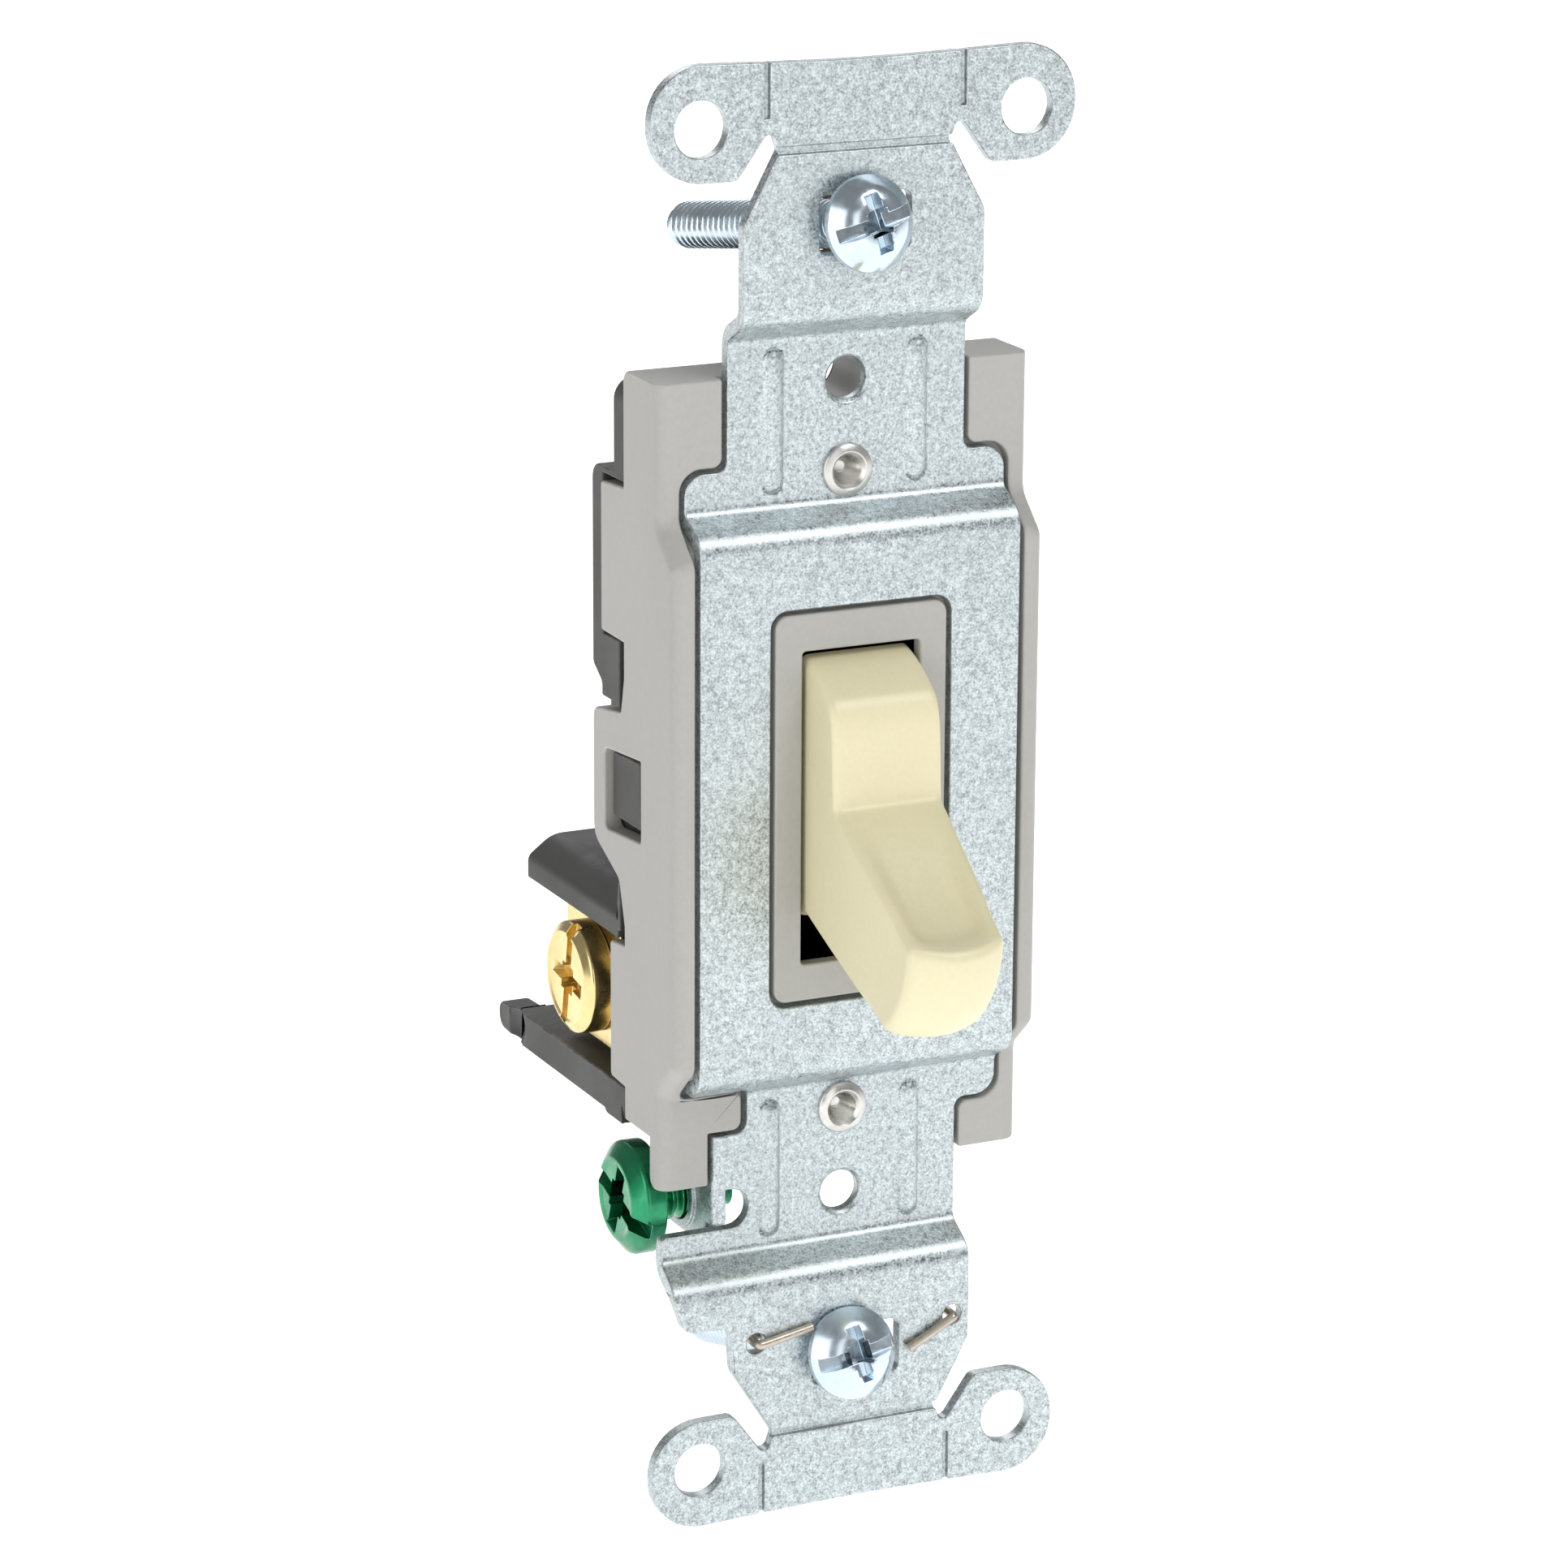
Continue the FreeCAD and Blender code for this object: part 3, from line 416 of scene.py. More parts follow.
def merged_mesh(node, name):
    """Copy of a CAD node's mesh with shared vertices and whole flat faces."""
    bm = bmesh.new()
    bm.from_mesh(frame["nodes"][node].data)
    bmesh.ops.remove_doubles(bm, verts=bm.verts, dist=MERGE)
    bmesh.ops.dissolve_limit(bm, angle_limit=FLAT, verts=bm.verts, edges=bm.edges)
    mesh = mesh_from(bm, name)
    if "custom_normal" in mesh.attributes:
        mesh.attributes.remove(mesh.attributes["custom_normal"])
    return mesh


def round_edges(holder, name, radius, segments=2):
    """Rounds an object's sharp edges and marks the new faces in the wear attribute; radius in mm."""
    holder.data.materials.clear()
    for _ in range(2):
        holder.data.materials.append(None)
    holder.data.polygons.foreach_set("material_index", [0] * len(holder.data.polygons))
    corners, faces = [v.co for v in holder.data.vertices], [f.vertices for f in holder.data.polygons]
    exact = BVHTree.FromPolygons(corners, faces)
    bevel = holder.modifiers.new("rounding", "BEVEL")
    bevel.width = radius * MM
    bevel.segments = segments
    bevel.limit_method = "ANGLE"
    bevel.angle_limit = SHARP
    bevel.use_clamp_overlap = False
    bevel.harden_normals = True
    bevel.material = 1
    piece = baked(holder, name)
    mesh = piece.data
    for vertex in mesh.vertices:
        nearest, _, _, distance = exact.find_nearest(vertex.co)
        if distance > SPIKE * radius * MM:
            vertex.co = nearest
    wear = mesh.attributes.new("wear", "FLOAT", "FACE")
    wear.data.foreach_set("value", [f.material_index * (1 - abs(f.normal.y)) for f in mesh.polygons])
    mesh.polygons.foreach_set("material_index", [0] * len(mesh.polygons))
    return piece


def rounded_piece(node, name, radius, segments):
    """Rounded copy of a CAD node, in its place."""
    holder = new_object(name, merged_mesh(node, name))
    place_piece(round_edges(holder, name, radius, segments), node)


# %% [markdown]
# ## Strap, body halves and terminals
# These are true sheet-metal and moulded shapes, so a rounded copy of the exact solid is the
# right way to make them. The radius differs: a stamped strap edge rolls over by about 0.14 mm,
# the plastic halves have a little more, and the small inner parts much less.

# %% Rounded parts
# node: name of its piece, radius in mm, segments across the rounding
ROUNDED = {
    "strap": ("strap_sheet", 0.14, 3),
    "cover": ("cover_moulding", 0.18, 3),
    "base": ("base_moulding", 0.16, 2),
    "line_terminal": ("line_terminal_brass", 0.10, 2),
    "load_terminal": ("load_terminal_brass", 0.10, 2),
    "pressure_plate_left": ("pressure_plate_left_brass", 0.12, 2),
    "pressure_plate_right": ("pressure_plate_right_brass", 0.12, 2),
    "contact_arm": ("contact_arm_brass", 0.06, 2),
    "moving_contact": ("moving_contact_button", 0.06, 2),
    "fixed_contact": ("fixed_contact_button", 0.06, 2),
}
for node, (name, radius, segments) in ROUNDED.items():
    rounded_piece(node, name, radius, segments)

# %% [markdown]
# ## Turned and extruded shapes
# Screw heads, rivets and washers are turned on a lathe or headed in a round die. We do the same:
# a half outline, given by its corners and their radii, is spun round an axis. Each screw is made
# standing on the origin with its axis up, and one matrix then lays it along its real axis.

# %% Outline, lathe and boolean helpers
LATHE_SIDES, CORNER_STEPS = 64, 6


def rounded_outline(corners):
    """Points of an open outline; corners are (a, b) or (a, b, radius), in mm."""
    points = []
    for i, corner in enumerate(corners):
        a, b, radius = (*corner, 0.0)[:3]
        if radius == 0.0 or i in (0, len(corners) - 1):
            points.append((a, b))
            continue
        here = Vector((a, b))
        back = (Vector(corners[i - 1][:2]) - here).normalized()
        onward = (Vector(corners[i + 1][:2]) - here).normalized()
        half = back.angle(onward) / 2
        reach = radius * cos(half) / sin(half)
        centre = here + (back + onward).normalized() * radius / sin(half)
        start, stop = here + back * reach - centre, here + onward * reach - centre
        sweep = start.angle_signed(stop)
        for k in range(CORNER_STEPS + 1):
            turned_by = Matrix.Rotation(-sweep * k / CORNER_STEPS, 2)
            points.append(tuple(centre + turned_by @ start))
    return points


def turned(outline):
    """Closed bmesh of an outline of (radius, height) points in mm, spun about Z."""
    bm, sides = bmesh.new(), LATHE_SIDES
    rings = []
    for r, h in outline:
        if r < 1e-6:
            rings.append([bm.verts.new((0, 0, h * MM))])
            continue
        ring = [2 * pi * k / sides for k in range(sides)]
        rings.append([bm.verts.new((r * cos(a) * MM, r * sin(a) * MM, h * MM)) for a in ring])
    closed = len(rings[0]) > 1 and len(rings[-1]) > 1
    pairs = list(zip(rings, rings[1:] + (rings[:1] if closed else [])))
    for low, high in (pairs if closed else pairs[:len(rings) - 1]):
        for k in range(sides):
            after = k + 1
            corner = [low[k % len(low)], low[after % len(low)],
                      high[after % len(high)], high[k % len(high)]]
            unique = list(dict.fromkeys(corner))
            if len(unique) > 2:
                bm.faces.new(unique)
    bmesh.ops.recalc_face_normals(bm, faces=bm.faces)
    return bm


def block(size, centre, turn=0.0, taper=1.0):
    """Object of a box, sizes in mm; turn is about Z, taper shrinks its lower end."""
    bm = bmesh.new()
    bmesh.ops.create_cube(bm, size=1.0)
    for v in bm.verts:
        share = taper if v.co.z < 0 else 1.0
        v.co = Vector((v.co.x * size[0] * share, v.co.y * size[1] * share, v.co.z * size[2])) * MM
    bmesh.ops.transform(bm, verts=bm.verts, matrix=Matrix.Translation(Vector(centre) * MM)
                        @ Matrix.Rotation(turn, 4, "Z"))
    return new_object("tool", mesh_from(bm, "tool"))


def carve(holder, tools, operation="DIFFERENCE"):
    """Boolean of an object with several tools, which are used up; returns a plain object."""
    for tool in tools:
        step = holder.modifiers.new("boolean", "BOOLEAN")
        step.operation = operation
        step.solver = "EXACT"
        step.object = tool
    made = baked(holder, holder.name)
    for tool in tools:
        bpy.data.objects.remove(tool)
    return made


def join_into(name, *parts):
    """One object from several, which are used up."""
    bm = bmesh.new()
    for part in parts:
        bm.from_mesh(part.data)
        bpy.data.objects.remove(part)
    return new_object(name, mesh_from(bm, name))


# %% [markdown]
# ## Screw threads with Geometry Nodes
# A thread is a groove that climbs by one pitch in each turn. Instead of sweeping a profile along
# a helix, which leaves two surfaces to join, we take one fine cylinder and pull its vertices in
# by a triangle wave of height/pitch minus angle/turn. The result is a single closed surface. The
# same tree makes every screw: only its named inputs differ.

# %% Thread node tree
def geometry_tree(name, inputs):
    """A Geometry Nodes tree with named inputs, and its input and output nodes."""
    tree = bpy.data.node_groups.new(name, "GeometryNodeTree")
    socket(tree, "Geometry", "NodeSocketGeometry", "INPUT")
    for label, kind, value in inputs:
        socket(tree, label, "NodeSocket" + kind, "INPUT", value)
    socket(tree, "Geometry", "NodeSocketGeometry", "OUTPUT")
    return tree, tree.nodes.new("NodeGroupInput"), tree.nodes.new("NodeGroupOutput")


def wire(tree, node, **links):
    """Links sockets or sets values by input name, with underscores for spaces."""
    for label, value in links.items():
        slot = node.inputs[label.replace("_", " ")]
        if isinstance(value, bpy.types.NodeSocket):
            tree.links.new(value, slot)
        else:
            slot.default_value = value
    return node


def close_tree(tree, shape, given, out):
    """Ends a tree in Realize Instances and Set Material."""
    real = tree.nodes.new("GeometryNodeRealizeInstances")
    finish = tree.nodes.new("GeometryNodeSetMaterial")
    tree.links.new(shape, real.inputs["Geometry"])
    tree.links.new(real.outputs["Geometry"], finish.inputs["Geometry"])
    tree.links.new(given.outputs["Material"], finish.inputs["Material"])
    tree.links.new(finish.outputs["Geometry"], out.inputs["Geometry"])


def make_thread_tree():
    """Cylinder with a helical groove, a pointed lead at its lower end."""
    tree, given, out = geometry_tree("threaded_rod", [
        ("Radius", "Float", 0.00175), ("Length", "Float", 0.02), ("Pitch", "Float", 0.0008),
        ("Depth", "Float", 0.0004), ("Sides", "Int", 32), ("Rows", "Int", 200),
        ("Material", "Material", None)])
    value = given.outputs
    rod = wire(tree, tree.nodes.new("GeometryNodeMeshCylinder"), Vertices=value["Sides"],
               Side_Segments=value["Rows"], Radius=value["Radius"], Depth=value["Length"])
    split = tree.nodes.new("ShaderNodeSeparateXYZ")
    tree.links.new(tree.nodes.new("GeometryNodeInputPosition").outputs[0], split.inputs[0])
    angle = math_node(tree, "ARCTAN2", split.outputs["Y"], split.outputs["X"])
    turn = math_node(tree, "DIVIDE", angle, 2 * pi)
    climb = math_node(tree, "DIVIDE", split.outputs["Z"], value["Pitch"])
    phase = math_node(tree, "MULTIPLY", math_node(tree, "SUBTRACT", climb, turn), 2.0)
    wave = map_node(tree, math_node(tree, "PINGPONG", phase, 1.0), 0.12, 0.86, 0.0, 1.0)
    groove = math_node(tree, "MULTIPLY", wave, math_node(tree, "DIVIDE", value["Depth"], value["Radius"]))
    end = math_node(tree, "MULTIPLY", value["Length"], -0.5)
    lead = math_node(tree, "ADD", end, value["Pitch"])
    point = map_node(tree, split.outputs["Z"], end, lead, 0.8, 1.0)
    scale = math_node(tree, "MULTIPLY", math_node(tree, "SUBTRACT", 1.0, groove), point)
    place = tree.nodes.new("ShaderNodeCombineXYZ")
    tree.links.new(math_node(tree, "MULTIPLY", split.outputs["X"], scale), place.inputs["X"])
    tree.links.new(math_node(tree, "MULTIPLY", split.outputs["Y"], scale), place.inputs["Y"])
    tree.links.new(split.outputs["Z"], place.inputs["Z"])
    shaped = wire(tree, tree.nodes.new("GeometryNodeSetPosition"), Geometry=rod.outputs["Mesh"],
                  Position=place.outputs[0])
    close_tree(tree, shaped.outputs["Geometry"], given, out)
    return tree


def run_tree(name, tree, mesh=None, **values):
    """Object made by a tree: inputs are set by socket identifier, and the result is a plain mesh."""
    holder = new_object(name, mesh or bpy.data.meshes.new(name))
    step = holder.modifiers.new("nodes", "NODES")
    step.node_group = tree
    for item in tree.interface.items_tree:
        if item.in_out == "INPUT" and item.name in values:
            step[item.identifier] = values[item.name]
    made = baked(holder, name)
    made.data.polygons.foreach_set("use_smooth", [True] * len(made.data.polygons))
    return made


thread_tree = make_thread_tree()
ROD_SIDES, ROWS_PER_PITCH = 32, 10


def threaded_rod(radius, length, pitch, depth, slot):
    """Threaded rod in mm whose upper end is at the origin, hanging along -Z."""
    made = run_tree("rod", thread_tree, Radius=radius * MM, Length=length * MM, Pitch=pitch * MM,
                    Depth=depth * MM, Sides=ROD_SIDES, Rows=round(ROWS_PER_PITCH * length / pitch),
                    Material=materials[slot])
    made.data.transform(Matrix.Translation((0, 0, -length / 2 * MM)))
    return made


print("thread tree:", len(thread_tree.nodes), "nodes")

# %% [markdown]
# ## The five screws
# All of them have a combination drive: a straight slot, a cross and a square hole in the middle.
# The drive is cut with the exact Boolean solver, as a punch would sink it, and then the edges
# are rounded. Shank lengths and places come from the frame's boxes, so each screw sits exactly on its CAD one.

# %% Screws
PITCH = 0.794            # both 6-32 and 8-32 have 32 threads to the inch
THREAD_DEPTH = 0.42
OVERLAP = 0.3            # how far a shank reaches into its head
EDGE_BREAK = 0.05        # rounding of a head's cut edges


def axis_frame(node, outward):
    """Rotation whose Z is outward, and the node's lowest and highest corner in that frame."""
    turn = Vector(outward).to_track_quat("Z", "Y").to_matrix()
    spots = [turn.transposed() @ v.co for v in frame["nodes"][node].data.vertices]
    low, high = (Vector(pick(spot[i] for spot in spots) for i in range(3)) for pick in (min, max))
    return turn, low, high


def lay_along(mesh, turn, low, high, level):
    """Moves a mesh made round Z onto a node's axis; level is the height of its origin there."""
    seat = turn @ Vector(((low.x + high.x) / 2, (low.y + high.y) / 2, level))
    mesh.transform(Matrix.Translation(seat) @ turn.to_4x4())


def joint_axis(node):
    """Axis of the joint that carries a node's body."""
    return next(j["axis"] for j in frame["joints"] if j["child"] == body_of[node])


def screw_head(corners, top, slot_width, slot_depth, turn, square):
    """Screw head standing on the origin, with slot, cross and square hole."""
    head = new_object("head", mesh_from(turned(rounded_outline(corners)), "head"))
    reach = 2 * max(corner[0] for corner in corners) + 1
    tools = [block((reach, slot_width, 2 * slot_depth), (0, 0, top), turn),
             block((1.3 * slot_width, 0.64 * reach, 2.2 * slot_depth), (0, 0, top), turn, 0.75),
             block((square, square, 2 * slot_depth + 1.2), (0, 0, top), turn + radians(2), 0.86)]
    return carve(head, tools)


def make_screw(node, corners, radius, slot_width, slot_depth, turn, square, outward):
    """Finished screw in the place of its node; outward is the unit vector out of its head."""
    top = max(corner[1] for corner in corners)
    head = round_edges(screw_head(corners, top, slot_width, slot_depth, turn, square), "head", EDGE_BREAK)
    rotation, low, high = axis_frame(node, outward)
    rod = threaded_rod(radius, (high.z - low.z) / MM - top + OVERLAP, PITCH, THREAD_DEPTH, slot_of[node])
    rod.data.transform(Matrix.Translation((0, 0, OVERLAP * MM)))
    screw = join_into(node + "_threaded", head, rod)
    lay_along(screw.data, rotation, low, high, high.z - top * MM)
    place_piece(screw, node)


BOX_HEAD = [(0, 0), (3.4, 0, 0.1), (3.4, 0.5, 0.2), (2.1, 1.95, 2.2), (0, 1.95)]
TERMINAL_HEAD = [(0, 0), (4.2, 0, 0.15), (4.2, 1.75, 0.35), (3.45, 2.25, 0.25), (3.1, 2.1, 0.2), (0, 2.1)]
GROUND_HEAD = [(0, 0), (4.2, 0, 0.2), (4.2, 1.5, 0.5), (3.0, 2.45, 0.5), (2.4, 2.3, 0.3), (0, 2.3)]
LEFT, RIGHT = (-1, 0, 0), (1, 0, 0)
# node, head, shank radius, slot width and depth, the slot's turn in degrees, square, outward
for node, head, radius, width, depth, turn, square, outward in (
        ("box_screw_top", BOX_HEAD, 1.75, 1.0, 1.05, 14, 1.8, joint_axis("box_screw_top")),
        ("box_screw_bottom", BOX_HEAD, 1.75, 1.0, 1.05, 10, 1.8, joint_axis("box_screw_bottom")),
        ("terminal_screw_left", TERMINAL_HEAD, 2.08, 0.95, 0.9, 80, 2.2, LEFT),
        ("terminal_screw_right", TERMINAL_HEAD, 2.08, 0.95, 0.9, 65, 2.2, RIGHT),
        ("ground_screw", GROUND_HEAD, 2.08, 1.25, 1.2, -20, 2.4, LEFT)):
    make_screw(node, head, radius, width, depth, radians(turn), square, outward)

# %% [markdown]
# ## The toggle
# The lever is the part a hand touches, so its shape matters most. It is one skin over a row of
# rounded-rectangle sections, from the round hub out to the tip. Half height and half width are
# formulas of the distance along the lever, joined by smooth minimum and maximum: these make the
# soft shoulder, the valley under it and the rounded tip. The finger hollow is a shallow
# push-in of the upper and lower faces that leaves a raised rim. The trunnions, the nose
# and the hub's pocket follow with booleans, and the whole is turned to its rest angle.

# %% Toggle
hinge = next(j for j in frame["joints"] if j["name"] == "toggle_pivot")
PIVOT = Vector(hinge["pos_m"])
REST_TURN = radians(hinge["range_deg"][1]) / 2
HUB_R, HUB_BACK = 11.4, -3.2
FLANK, FLANK_HALF = 3.48, 10.6           # where the hub's shoulder starts to fall, and its half height
ROOT, ROOT_HALF = 6.9, 5.15              # where the lever starts, and its half height
TIP, TIP_NARROWING, TIP_EDGE = 22.1, 1.1, 0.55
HALF_WIDTH, TIP_WIDTH = 4.25, 3.7
CORNER, CORNER_PARTS, ACROSS, DOWN = 0.62, 7, 30, 12
DOME, DOME_RISE = (6.0, 9.0), (15.0, 21.0)      # the tip's bulge: radii over width and thickness
HOLLOW, HOLLOW_RISE, HOLLOW_FALL, HOLLOW_SIDE = 0.85, (7.9, 17.0), (18.6, 21.6), (0.52, 0.88)
STATIONS, TIP_STATIONS, CAP_STATIONS = 100, 6, 8
POCKET = ((5.6, 7.0, 20.0), (0, 1.3, 0))        # the hub's open back: size and centre
BOSS = ((8.0, 6.0, 4.8), (0, -1.0, 0))
TRUNNIONS = [(0, -6.5), (1.9, -6.5, 0.2), (1.9, 6.5, 0.2), (0, 6.5)]
NOSE = [(0, -3), (1.7, -3), (1.1, 4.8), (0.75, 6.0, 0.7), (0, 6.0)]


def smooth_min(a, b, blend):
    """Minimum of two numbers with a rounded joint."""
    h = max(blend - abs(a - b), 0.0) / blend
    return min(a, b) - h * h * blend / 4


def smooth_step(low, high, x):
    """0 below low, 1 above high, smooth between."""
    t = min(max((x - low) / (high - low), 0.0), 1.0)
    return t * t * (3 - 2 * t)


def tip_round(size, s):
    """A half size, less the rounding of the tip's edge."""
    left = min(max(TIP - s, 0.0), TIP_EDGE)
    return size - TIP_EDGE + sqrt(TIP_EDGE ** 2 - (TIP_EDGE - left) ** 2)


def half_height(s):
    """Half height of the toggle at a distance s from its pivot, in mm."""
    hub = sqrt(max(HUB_R ** 2 - s * s, 0.0))
    flank = FLANK_HALF - (s - FLANK) * (FLANK_HALF - ROOT_HALF) / (ROOT - FLANK)
    lever = ROOT_HALF - (s - ROOT) * TIP_NARROWING / (TIP - ROOT)
    return tip_round(-smooth_min(-smooth_min(hub, flank, 1.5), -lever, 0.6), s)


def half_width(s):
    """Half width: straight over the hub, then a taper."""
    return tip_round(HALF_WIDTH - (HALF_WIDTH - TIP_WIDTH) * smooth_step(ROOT - 2, TIP, s), s)


def section(s, shrink):
    """Closed ring of (x, y, z) points in mm round the toggle at distance s, with the tip's bulge."""
    w, h = half_width(s), half_height(s)
    c = min(CORNER, 0.9 * w, 0.9 * h)
    ring = []
    for quarter in range(4):
        sx, sz = ((1, 1), (-1, 1), (-1, -1), (1, -1))[quarter]
        start = quarter * pi / 2
        ring += [(sx * (w - c) + c * cos(start + pi / 2 * k / CORNER_PARTS),
                  sz * (h - c) + c * sin(start + pi / 2 * k / CORNER_PARTS))
                 for k in range(CORNER_PARTS + 1)]
        count = ACROSS if quarter % 2 == 0 else DOWN
        ax, az = ring[-1]
        bx, bz = ((-(w - c), h), (-w, -(h - c)), (w - c, -h), (w, h - c))[quarter]
        ring += [(ax + (bx - ax) * k / count, az + (bz - az) * k / count) for k in range(1, count)]
    deep = HOLLOW * smooth_step(*HOLLOW_RISE, s) * (1 - smooth_step(*HOLLOW_FALL, s))
    placed = []
    for x, z in ring:
        if abs(z) > h - 0.75 * c:
            z -= (1 if z > 0 else -1) * deep * (1 - smooth_step(*HOLLOW_SIDE, abs(x) / w))
        x, z = x * shrink, z * shrink
        bulge = (x * x / DOME[0] + z * z / DOME[1]) / 2 * smooth_step(*DOME_RISE, s)
        placed.append((x, bulge - s, z))
    return placed


def make_toggle():
    """Lever and hub, straight out from the pivot along -Y."""
    end = TIP - TIP_EDGE
    stations = [(HUB_BACK + (end - HUB_BACK) * k / STATIONS, 1.0) for k in range(STATIONS)]
    stations += [(TIP - TIP_EDGE * (1 - sin(pi / 2 * k / TIP_STATIONS)), 1.0)
                 for k in range(TIP_STATIONS + 1)]
    stations += [(TIP, k / CAP_STATIONS) for k in range(CAP_STATIONS - 1, 0, -1)]
    bm = bmesh.new()
    rings = [[bm.verts.new(Vector(point) * MM) for point in section(s, shrink)] for s, shrink in stations]
    count = len(rings[0])
    for low, high in zip(rings, rings[1:]):
        for k in range(count):
            bm.faces.new((low[k], low[(k + 1) % count], high[(k + 1) % count], high[k]))
    bm.faces.new(rings[0])
    bm.faces.new(rings[-1])
    bmesh.ops.recalc_face_normals(bm, faces=bm.faces)
    lever = new_object("toggle_lever_moulding", mesh_from(bm, "toggle_lever_moulding"))
    lever = carve(lever, [block(*POCKET)])

    pin = mesh_from(turned(rounded_outline(TRUNNIONS)), "pin")
    pin.transform(Matrix.Rotation(pi / 2, 4, "Y"))
    nose = mesh_from(turned(rounded_outline(NOSE)), "nose")
    nose.transform(Matrix.Rotation(-pi / 2, 4, "X"))
    extras = [new_object("pin", pin), new_object("nose", nose), block(*BOSS)]
    lever = carve(lever, extras, "UNION")
    lever.data.transform(Matrix.Translation(PIVOT) @ Matrix.Rotation(REST_TURN, 4, "X"))
    lever.data.set_sharp_from_angle(angle=radians(40))
    return lever


place_piece(make_toggle(), "toggle")

# %% [markdown]
# ## Trees for the eyelets and the spring
# The two eyelets are one shape set twice, so a small tree repeats a mesh in a line. The spring
# is a helix: a Spiral curve swept with a round profile.

# %% Repeat and spring trees
def make_repeat_tree():
    """Repeats the incoming mesh Count times, Step apart."""
    tree, given, out = geometry_tree("repeat_in_line", [
        ("Count", "Int", 2), ("Start", "Vector", (0.0, 0.0, 0.0)), ("Step", "Vector", (0.0, 0.0, 0.01)),
        ("Material", "Material", None)])
    value = given.outputs
    line = wire(tree, tree.nodes.new("GeometryNodeMeshLine"), Count=value["Count"],
                Start_Location=value["Start"], Offset=value["Step"])
    spread = wire(tree, tree.nodes.new("GeometryNodeInstanceOnPoints"), Points=line.outputs["Mesh"],
                  Instance=value["Geometry"])
    close_tree(tree, spread.outputs["Instances"], given, out)
    return tree


def make_spring_tree():
    """Helical spring standing on the origin."""
    tree, given, out = geometry_tree("coil_spring", [
        ("Turns", "Float", 6.0), ("Radius", "Float", 0.001), ("Height", "Float", 0.005),
        ("Wire", "Float", 0.0002), ("Material", "Material", None)])
    value = given.outputs
    coil = wire(tree, tree.nodes.new("GeometryNodeCurveSpiral"), Resolution=28, Rotations=value["Turns"],
                Start_Radius=value["Radius"], End_Radius=value["Radius"], Height=value["Height"])
    round_wire = wire(tree, tree.nodes.new("GeometryNodeCurvePrimitiveCircle"), Resolution=12,
                      Radius=value["Wire"])
    swept = tree.nodes.new("GeometryNodeCurveToMesh")
    tree.links.new(coil.outputs["Curve"], swept.inputs["Curve"])
    tree.links.new(round_wire.outputs["Curve"], swept.inputs["Profile Curve"])
    swept.inputs["Fill Caps"].default_value = True
    close_tree(tree, swept.outputs["Mesh"], given, out)
    return tree


repeat_tree, spring_tree = make_repeat_tree(), make_spring_tree()
print("repeat and spring trees:", len(repeat_tree.nodes), "and", len(spring_tree.nodes), "nodes")

# %% [markdown]
# ## Eyelets
# Each eyelet is a rivet with hollow rolled ends: a rim round a blind hole in front, the same at
# the back, and a barrel between. The frame's box gives the length and how far apart the two are.

# %% Eyelets
low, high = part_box("eyelets")
EYELET_ACROSS = 3.9
EYELET_LENGTH = (high.y - low.y) / MM
EYELET_GAP = high.z - low.z - EYELET_ACROSS * MM
rolled = [(0, 1.85), (0.45, 1.8, 0.2), (1.08, 0.35, 0.3), (1.35, 0.0, 0.12), (1.93, 0.25, 0.2),
          (1.9, 0.53, 0.05), (1.45, 0.56, 0.05)]
far = [(r, EYELET_LENGTH - h, *rest) for r, h, *rest in reversed(rolled)]
eyelet = mesh_from(turned(rounded_outline(rolled + far)), "eyelet")
eyelet.transform(Matrix.Rotation(-pi / 2, 4, "X"))
middle = (low + high) / 2
first = Vector((middle.x, low.y, middle.z - EYELET_GAP / 2))
eyelet_pair = run_tree("eyelet_pair", repeat_tree, eyelet, Count=2, Start=first,
                       Step=(0.0, 0.0, EYELET_GAP), Material=materials["eyelet_metal"])
place_piece(eyelet_pair, "eyelets")

# %% [markdown]
# ## Toggle spring
# The coil runs between the lever's nose and the contact arm, from the front top of its box to the
# rear bottom. It is a little shorter than that line, so that the wire ends inside both seats.

# %% Toggle spring
low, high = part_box("toggle_spring")
SPRING_R, SPRING_WIRE, SPRING_TURNS = 1.13, 0.2, 7.0
SPRING_SHARE = 0.88      # of the line between the seats
start = Vector((0, low.y, high.z - SPRING_R * MM))
stop = Vector((0, high.y, low.z + SPRING_R * MM))
along = stop - start
spring = run_tree("toggle_spring_coil", spring_tree, Turns=SPRING_TURNS, Radius=SPRING_R * MM,
                  Height=along.length * SPRING_SHARE, Wire=SPRING_WIRE * MM,
                  Material=materials["spring_steel"])
tilt = along.to_track_quat("Z", "Y").to_matrix().to_4x4()
spring.data.transform(Matrix.Translation(start + along * 0.06) @ tilt)
place_piece(spring, "toggle_spring")

# %% [markdown]
# ## Earthing clip
# A piece of spring wire that passes through two small holes of the strap. Its ends press on the
# lower box screw. The path is a short list of points, drawn as a smooth curve with thickness.

# %% Earthing clip
low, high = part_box("ground_clip")
WIRE_R = 0.34
front, rear = low.y + WIRE_R * MM, high.y - WIRE_R * MM
clip_path = [(-3.7, front, -39.05), (-5.8, front, -39.45), (-7.7, front, -39.8), (-8.0, front, -39.8),
             (-8.0, rear, -39.8), (-7.6, rear, -39.75), (-2.6, rear, -39.3), (2.2, rear, -39.3),
             (7.5, rear, -40.05), (7.9, rear, -40.1), (7.9, front, -40.1), (7.6, front, -40.25),
             (6.0, front, -41.1), (4.15, front, -42.0)]
curve = bpy.data.curves.new("ground_clip_wire", "CURVE")
curve.dimensions = "3D"
curve.bevel_depth = WIRE_R * MM * 0.97
curve.bevel_resolution = 4
curve.use_fill_caps = True
curve.resolution_u = 6
spline = curve.splines.new("NURBS")
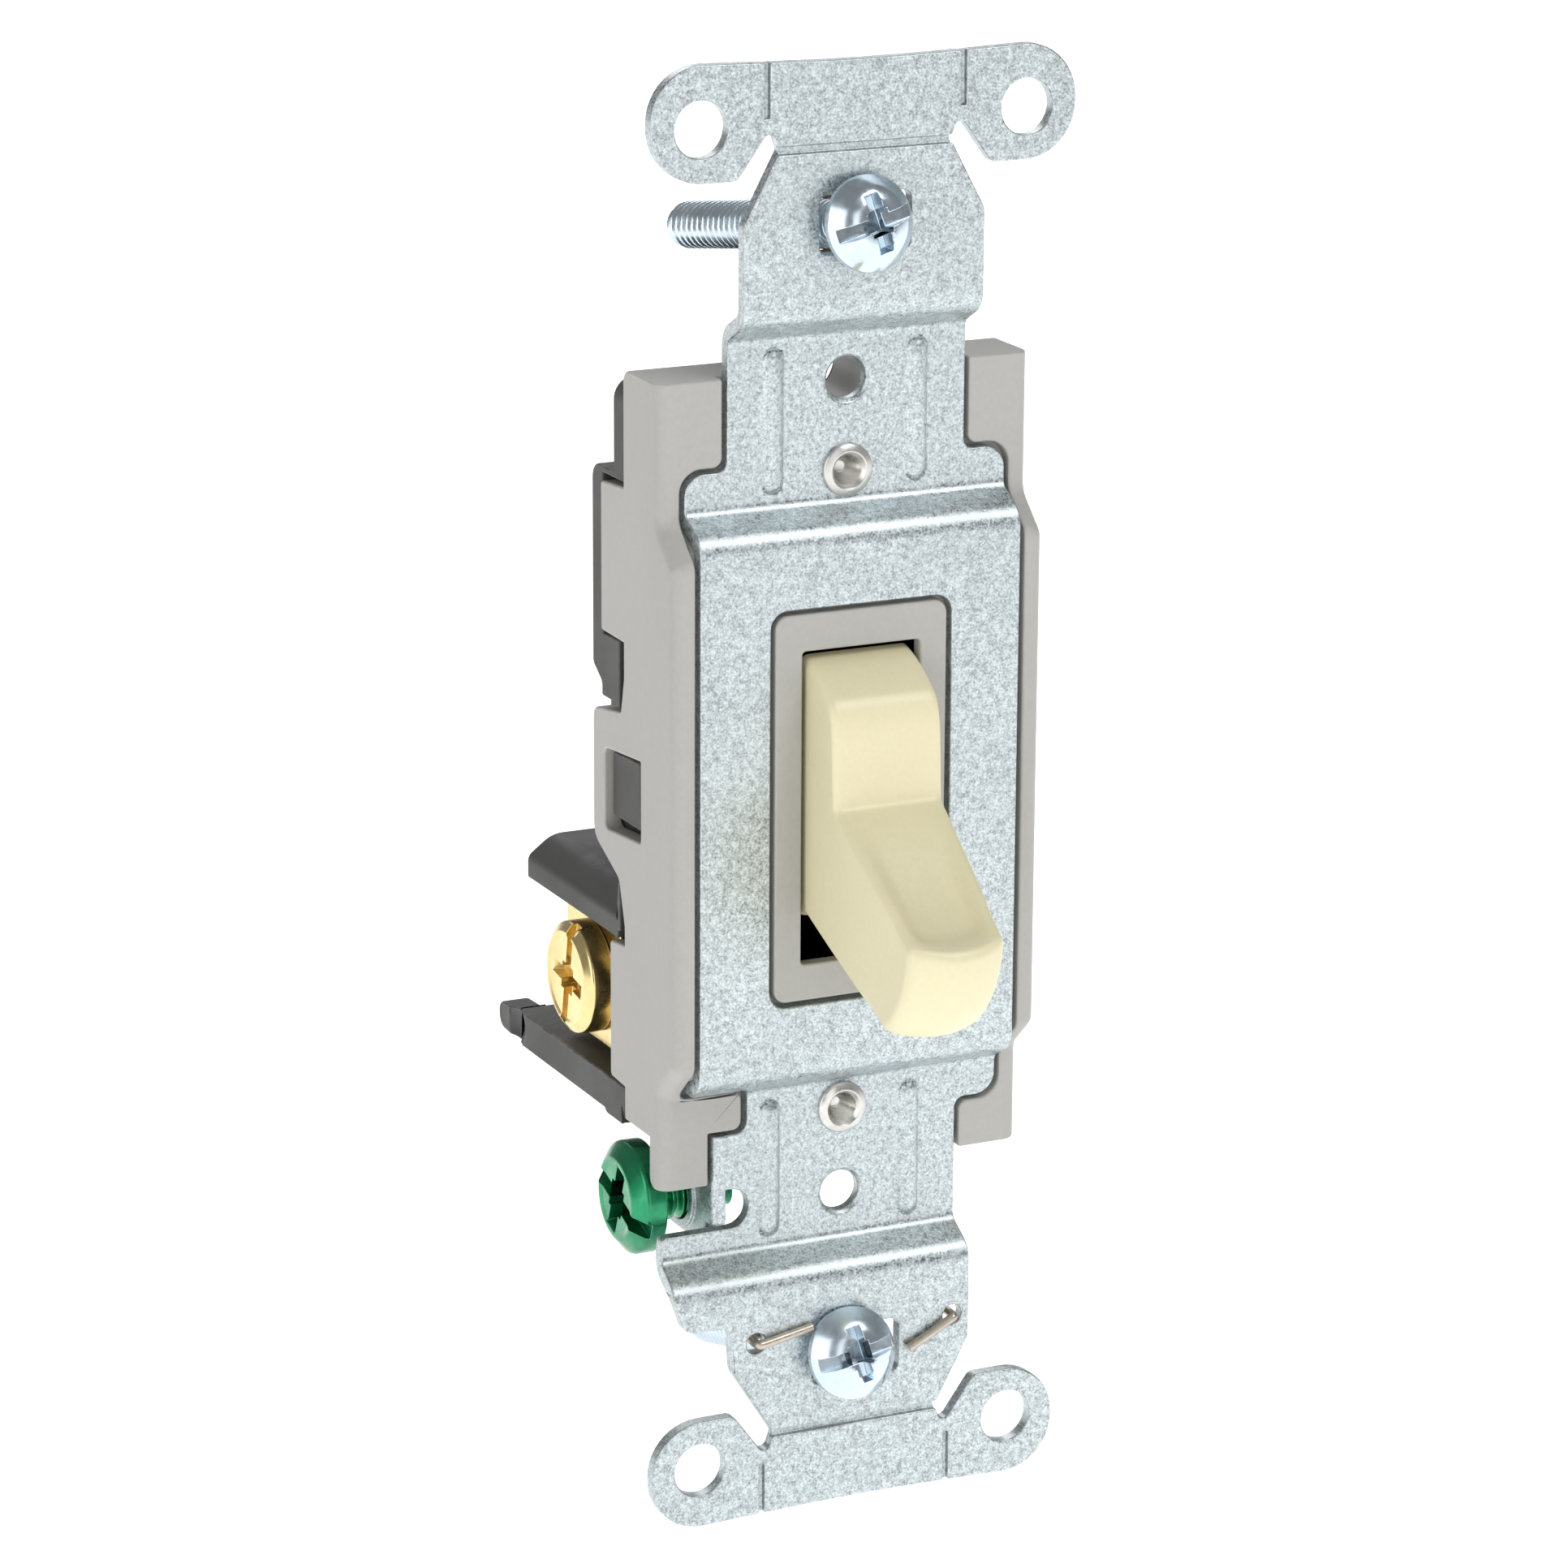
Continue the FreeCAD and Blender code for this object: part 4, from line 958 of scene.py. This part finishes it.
spline.points.add(len(clip_path) - 1)
for point, (x, y, z) in zip(spline.points, clip_path):
    point.co = (x * MM, y, z * MM, 1.0)
spline.order_u = 3
spline.use_endpoint_u = True
clip_wire = baked(new_object("ground_clip_wire", curve), "ground_clip_wire")
place_piece(clip_wire, "ground_clip")

# %% [markdown]
# ## Fibre washers
# They grip the box screws behind the strap, so that the screws can't fall out. Each one leans
# with its screw, so it is made flat and laid along the joint's axis.

# %% Fibre washers
WASHER_BORE, WASHER_EDGE = 1.82, 0.15
for node in ("retainer_top", "retainer_bottom"):
    rotation, low, high = axis_frame(node, joint_axis(node))
    thick, wide = (high.z - low.z) / MM, (high.x - low.x) / MM / 2
    rim = rounded_outline([(WASHER_BORE, 0.05), (wide, 0.0, WASHER_EDGE), (wide, thick, WASHER_EDGE),
                           (WASHER_BORE, thick - 0.05)])
    washer = mesh_from(turned(rim), node + "_fibre")
    lay_along(washer, rotation, low, high, low.z)
    place_piece(new_object(node + "_fibre", washer), node)

# %% [markdown]
# ## Floor
# A plain sheet of white paper just under the lower ears. A little emission keeps it as bright as
# the world behind it, so no horizon shows.

# %% Plain floor
FLOOR_GAP = 2 * MM
floor_z = cad_box[0].z - FLOOR_GAP
bm = bmesh.new()
bmesh.ops.create_grid(bm, x_segments=1, y_segments=1, size=6.0)
floor = new_object("floor", mesh_from(bm, "floor"))
floor.location.z = floor_z
paper = bpy.data.materials.new("floor_paper")
paper.use_nodes = True
for label, value in (("Base Color", (0.93, 0.93, 0.93, 1.0)), ("Roughness", 0.9),
                     ("Emission Color", (1.0, 1.0, 1.0, 1.0)), ("Emission Strength", 0.8)):
    paper.node_tree.nodes["Principled BSDF"].inputs[label].default_value = value
floor.data.materials.append(paper)
print("floor at", round(floor_z / MM, 1), "mm")

# %% [markdown]
# ## Finishes of the exact parts
# The exact solids stay in the frame under the visual pieces. They get the same finishes, by the
# material slot that the record names for each.

# %% Finishes of the exact parts
for node, part in frame["nodes"].items():
    part.data.materials.clear()
    part.data.materials.append(materials[slot_of[node]])
print("finished nodes:", len(frame["nodes"]))
